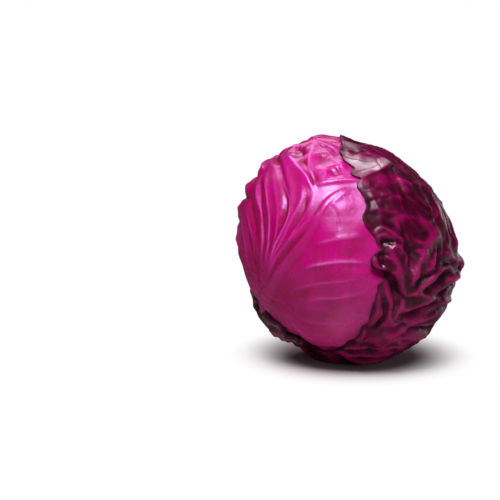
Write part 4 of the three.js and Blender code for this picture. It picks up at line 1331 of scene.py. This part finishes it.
class CabbageColours(bpy.types.PropertyGroup):
    """Colours of the leaves and the stalk, as displayed."""

    front_body: FloatVectorProperty(
        name="Front leaf", description="Magenta of the front leaf",
        default=(0.82, 0.02, 0.52), subtype="COLOR_GAMMA",
    )
    # Painted shade in the front leaf's folds and hollows, also its darker crimson tone and mottle.
    front_shade_and_tone: FloatVectorProperty(
        name="Front leaf folds", description="Crimson in its folds",
        default=(0.64, 0.01, 0.29), subtype="COLOR_GAMMA",
    )
    # Painted highlight on the front leaf's ridges, also its brighter violet tones.
    front_ridge_light: FloatVectorProperty(
        name="Front leaf ridges", description="Violet on its ridges",
        default=(0.88, 0.06, 0.66), subtype="COLOR_GAMMA",
    )
    front_rib: FloatVectorProperty(
        name="Ribs", description="Dull pink of the ribs",
        default=(0.72, 0.16, 0.46), subtype="COLOR_GAMMA",
    )
    outer_body: FloatVectorProperty(
        name="Outer leaf", description="Maroon of the outer leaf",
        default=(0.33, 0.01, 0.15), subtype="COLOR_GAMMA",
    )
    # Painted shade in the outer leaf's folds and hollows, also its darker mottle.
    outer_shade_and_tone: FloatVectorProperty(
        name="Outer leaf folds", description="Near black in its folds",
        default=(0.22, 0.02, 0.11), subtype="COLOR_GAMMA",
    )
    # Painted highlight on the outer leaf's ridges, also its magenta blushes.
    outer_ridge_light: FloatVectorProperty(
        name="Outer leaf ridges", description="Magenta on its ridges",
        default=(0.64, 0.02, 0.38), subtype="COLOR_GAMMA",
    )
    # Silvery wax, also the colour of the painted sheen on the outer leaf's top and of the painted floor
    # reflection low on the leaves.
    bloom_and_sheen: FloatVectorProperty(
        name="Bloom", description="Silvery wax bloom",
        default=(0.97, 0.84, 0.90), subtype="COLOR_GAMMA",
    )
    dry: FloatVectorProperty(
        name="Dry edge", description="Dried leaf margin",
        default=(0.30, 0.18, 0.19), subtype="COLOR_GAMMA",
    )
    # A dried margin, blackened further as a painted shadow along it.
    margin: FloatVectorProperty(
        name="Outer leaf margin", description="Blackened margin of the outer leaf",
        default=(0.16, 0.08, 0.10), subtype="COLOR_GAMMA",
    )
    stump: FloatVectorProperty(
        name="Leaf base", description="Brown purple of trimmed leaf bases",
        default=(0.36, 0.22, 0.24), subtype="COLOR_GAMMA",
    )
    stalk: FloatVectorProperty(
        name="Cut stalk", description="Pale flesh of the cut stalk",
        default=(0.80, 0.74, 0.62), subtype="COLOR_GAMMA",
    )


class CabbageStudio(bpy.types.PropertyGroup):
    """Light and floor."""

    softbox: FloatProperty(
        name="Softbox", description="Power of the front soft lamp", default=11.5, unit="POWER"
    )
    fill: FloatProperty(
        name="Fill", description="Power of the wide lamp beside the camera", default=3.0, unit="POWER"
    )
    rear_softbox: FloatProperty(
        name="Rear softbox", description="Power of the soft lamp behind", default=3.6, unit="POWER"
    )
    front_room: FloatProperty(
        name="Front room", description="Brightness of the room in front and beside", default=0.02,
        subtype="FACTOR",
    )
    sky: FloatProperty(
        name="Ceiling", description="Brightness of the ceiling", default=0.35, subtype="FACTOR"
    )
    floor: FloatVectorProperty(
        name="Floor", description="Pale floor", default=(0.86, 0.78, 0.81), subtype="COLOR_GAMMA"
    )


def sizes_now(context):
    """The relief sizes in millimetres."""
    s = context.scene.cabbage_sizes
    return {
        "thickness": s.leaf_thickness / MM,
        "rib": s.rib_height / MM,
        "vein": s.vein_height / MM,
        "curl": s.margin_curl / MM,
        "pleats": s.pleat_depth,
        "crumples": s.crumple_depth,
    }


def fresh_colours(c):
    """Colours of the fresh leaves, in the order that leaf_finish takes them."""
    return (c.front_shade_and_tone, c.front_body, c.front_ridge_light, c.front_rib, c.bloom_and_sheen, c.dry)


# ---------------------------------------------------------------- operators
class CABBAGE_OT_front_leaf(bpy.types.Operator):
    """Build the bright, pleated front leaf"""

    bl_idname = "cabbage.front_leaf"
    bl_label = "Front leaf"

    def execute(self, context):
        colours = fresh_colours(context.scene.cabbage_colours)
        skin = leaf_finish(
            "front_leaf_skin", colours, roughness=0.29, net_share=0.10, shine=0.75, gloss=VIOLET_GLOSS
        )
        leaf_piece("front_leaf", FRONT_GRID, sizes_now(context), skin)
        return {"FINISHED"}


class CABBAGE_OT_outer_leaf(bpy.types.Operator):
    """Build the dark, crumpled outer leaf"""

    bl_idname = "cabbage.outer_leaf"
    bl_label = "Outer leaf"

    def execute(self, context):
        c = context.scene.cabbage_colours
        colours = (c.outer_shade_and_tone, c.outer_body, c.outer_ridge_light, c.front_rib, c.bloom_and_sheen, c.margin)
        skin = leaf_finish(
            "outer_leaf_skin", colours, roughness=0.27, net_share=0.03, shine=0.26, gloss=PALE_GLOSS
        )
        leaf_piece("outer_leaf", OUTER_GRID, sizes_now(context), skin)
        return {"FINISHED"}


class CABBAGE_OT_wrapper_leaves(bpy.types.Operator):
    """Build the rear, under and shoulder leaves"""

    bl_idname = "cabbage.wrapper_leaves"
    bl_label = "Wrapper leaves"

    def execute(self, context):
        colours = fresh_colours(context.scene.cabbage_colours)
        skin = leaf_finish(
            "wrapper_leaf_skin", colours, roughness=0.26, net_share=0.14, shine=0.7, gloss=VIOLET_GLOSS
        )
        for name in ("rear_leaf", "under_leaf", "shoulder_leaf"):
            leaf_piece(name, WRAPPER_GRID, sizes_now(context), skin)
        return {"FINISHED"}


class CABBAGE_OT_leaf_stumps(bpy.types.Operator):
    """Build the three trimmed leaf bases round the stalk"""

    bl_idname = "cabbage.leaf_stumps"
    bl_label = "Leaf bases"

    def execute(self, context):
        c = context.scene.cabbage_colours
        # The leaf bases' painted shade in folds, also their darker mottle.
        dark = [0.45 * v for v in c.stump]
        pale = [min(1.0, 1.7 * v + 0.08) for v in c.stump]
        colours = (dark, c.stump, BASE_RIDGE_LIGHT, pale, c.bloom_and_sheen, [0.7 * v for v in c.dry])
        skin = leaf_finish(
            "leaf_base_skin", colours, roughness=0.5, net_share=0.10, shine=0.25, gloss=PALE_GLOSS
        )
        for name in ("leaf_stump_1", "leaf_stump_2", "leaf_stump_3"):
            leaf_piece(name, STUMP_GRID, sizes_now(context), skin)
        return {"FINISHED"}


class CABBAGE_OT_stalk(bpy.types.Operator):
    """Build the cut stalk"""

    bl_idname = "cabbage.stalk"
    bl_label = "Stalk"

    def execute(self, context):
        piece = stalk_piece(stalk_finish(context.scene.cabbage_colours.stalk, STALK_BROWN))
        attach(piece, "root")
        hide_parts("stalk")
        return {"FINISHED"}


class CABBAGE_OT_inner_leaves(bpy.types.Operator):
    """Give the leaves inside the head their finish"""

    bl_idname = "cabbage.inner_leaves"
    bl_label = "Inner leaves"

    def execute(self, context):
        c = context.scene.cabbage_colours
        finish = hidden_leaf_finish(c.front_body, c.front_rib)
        for name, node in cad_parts.items():
            if name.startswith("inner_leaf") or name == "heart":
                node.data.materials.clear()
                node.data.materials.append(finish)
        return {"FINISHED"}


class CABBAGE_OT_stage(bpy.types.Operator):
    """Set the camera, the soft lamps, the pale floor and the white background"""

    bl_idname = "cabbage.stage"
    bl_label = "Stage"

    def execute(self, context):
        scene, studio = context.scene, context.scene.cabbage_studio
        scene.view_settings.view_transform = "Standard"
        add_camera(scene)
        way = {"bearing": -13, "elevation": 61, "distance": 1.1}
        soft_lamp(scene, "front_softbox", size=(0.34, 0.53), power=studio.softbox, **way)
        way = {"bearing": 196, "elevation": 52, "distance": 1.2}
        soft_lamp(scene, "rear_softbox", size=(0.9, 0.5), power=studio.rear_softbox, **way)
        # the fill lightens the shadows, and glossy skin doesn't mirror it
        way = {"bearing": 20, "elevation": 8, "distance": 1.4}
        fill = soft_lamp(scene, "fill_softbox", size=(1.2, 0.9), power=studio.fill, **way)
        fill.visible_glossy = False
        add_room(scene, studio)
        floor = floor_piece(floor_finish(studio.floor, studio.front_room))
        return {"FINISHED"}


class CABBAGE_PT_panel(bpy.types.Panel):
    """Lists the cabbage's pieces"""

    bl_idname = "CABBAGE_PT_panel"
    bl_label = "Red cabbage"
    bl_space_type = "VIEW_3D"
    bl_region_type = "UI"
    bl_category = "Cabbage"

    def draw(self, context):
        for operator in OPERATORS:
            self.layout.operator(operator.bl_idname)
        for group in ("cabbage_sizes", "cabbage_colours", "cabbage_studio"):
            settings = getattr(context.scene, group)
            box = self.layout.box()
            for key in settings.__annotations__:
                box.prop(settings, key)


GROUPS = (CabbageSizes, CabbageColours, CabbageStudio)
OPERATORS = (
    CABBAGE_OT_stage,
    CABBAGE_OT_inner_leaves,
    CABBAGE_OT_wrapper_leaves,
    CABBAGE_OT_front_leaf,
    CABBAGE_OT_outer_leaf,
    CABBAGE_OT_leaf_stumps,
    CABBAGE_OT_stalk,
)


def register():
    """Registers the classes and hangs the settings on the scene."""
    for cls in GROUPS + OPERATORS + (CABBAGE_PT_panel,):
        bpy.utils.register_class(cls)
    bpy.types.Scene.cabbage_sizes = PointerProperty(type=CabbageSizes)
    bpy.types.Scene.cabbage_colours = PointerProperty(type=CabbageColours)
    bpy.types.Scene.cabbage_studio = PointerProperty(type=CabbageStudio)


def unregister():
    """Takes the settings and the classes away again."""
    del bpy.types.Scene.cabbage_studio
    del bpy.types.Scene.cabbage_colours
    del bpy.types.Scene.cabbage_sizes
    for cls in reversed(GROUPS + OPERATORS + (CABBAGE_PT_panel,)):
        bpy.utils.unregister_class(cls)


def main():
    """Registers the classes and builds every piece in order."""
    register()
    bpy.ops.cabbage.stage()
    bpy.ops.cabbage.inner_leaves()
    bpy.ops.cabbage.wrapper_leaves()
    bpy.ops.cabbage.front_leaf()
    bpy.ops.cabbage.outer_leaf()
    bpy.ops.cabbage.leaf_stumps()
    bpy.ops.cabbage.stalk()


if __name__ == "__main__":
    main()
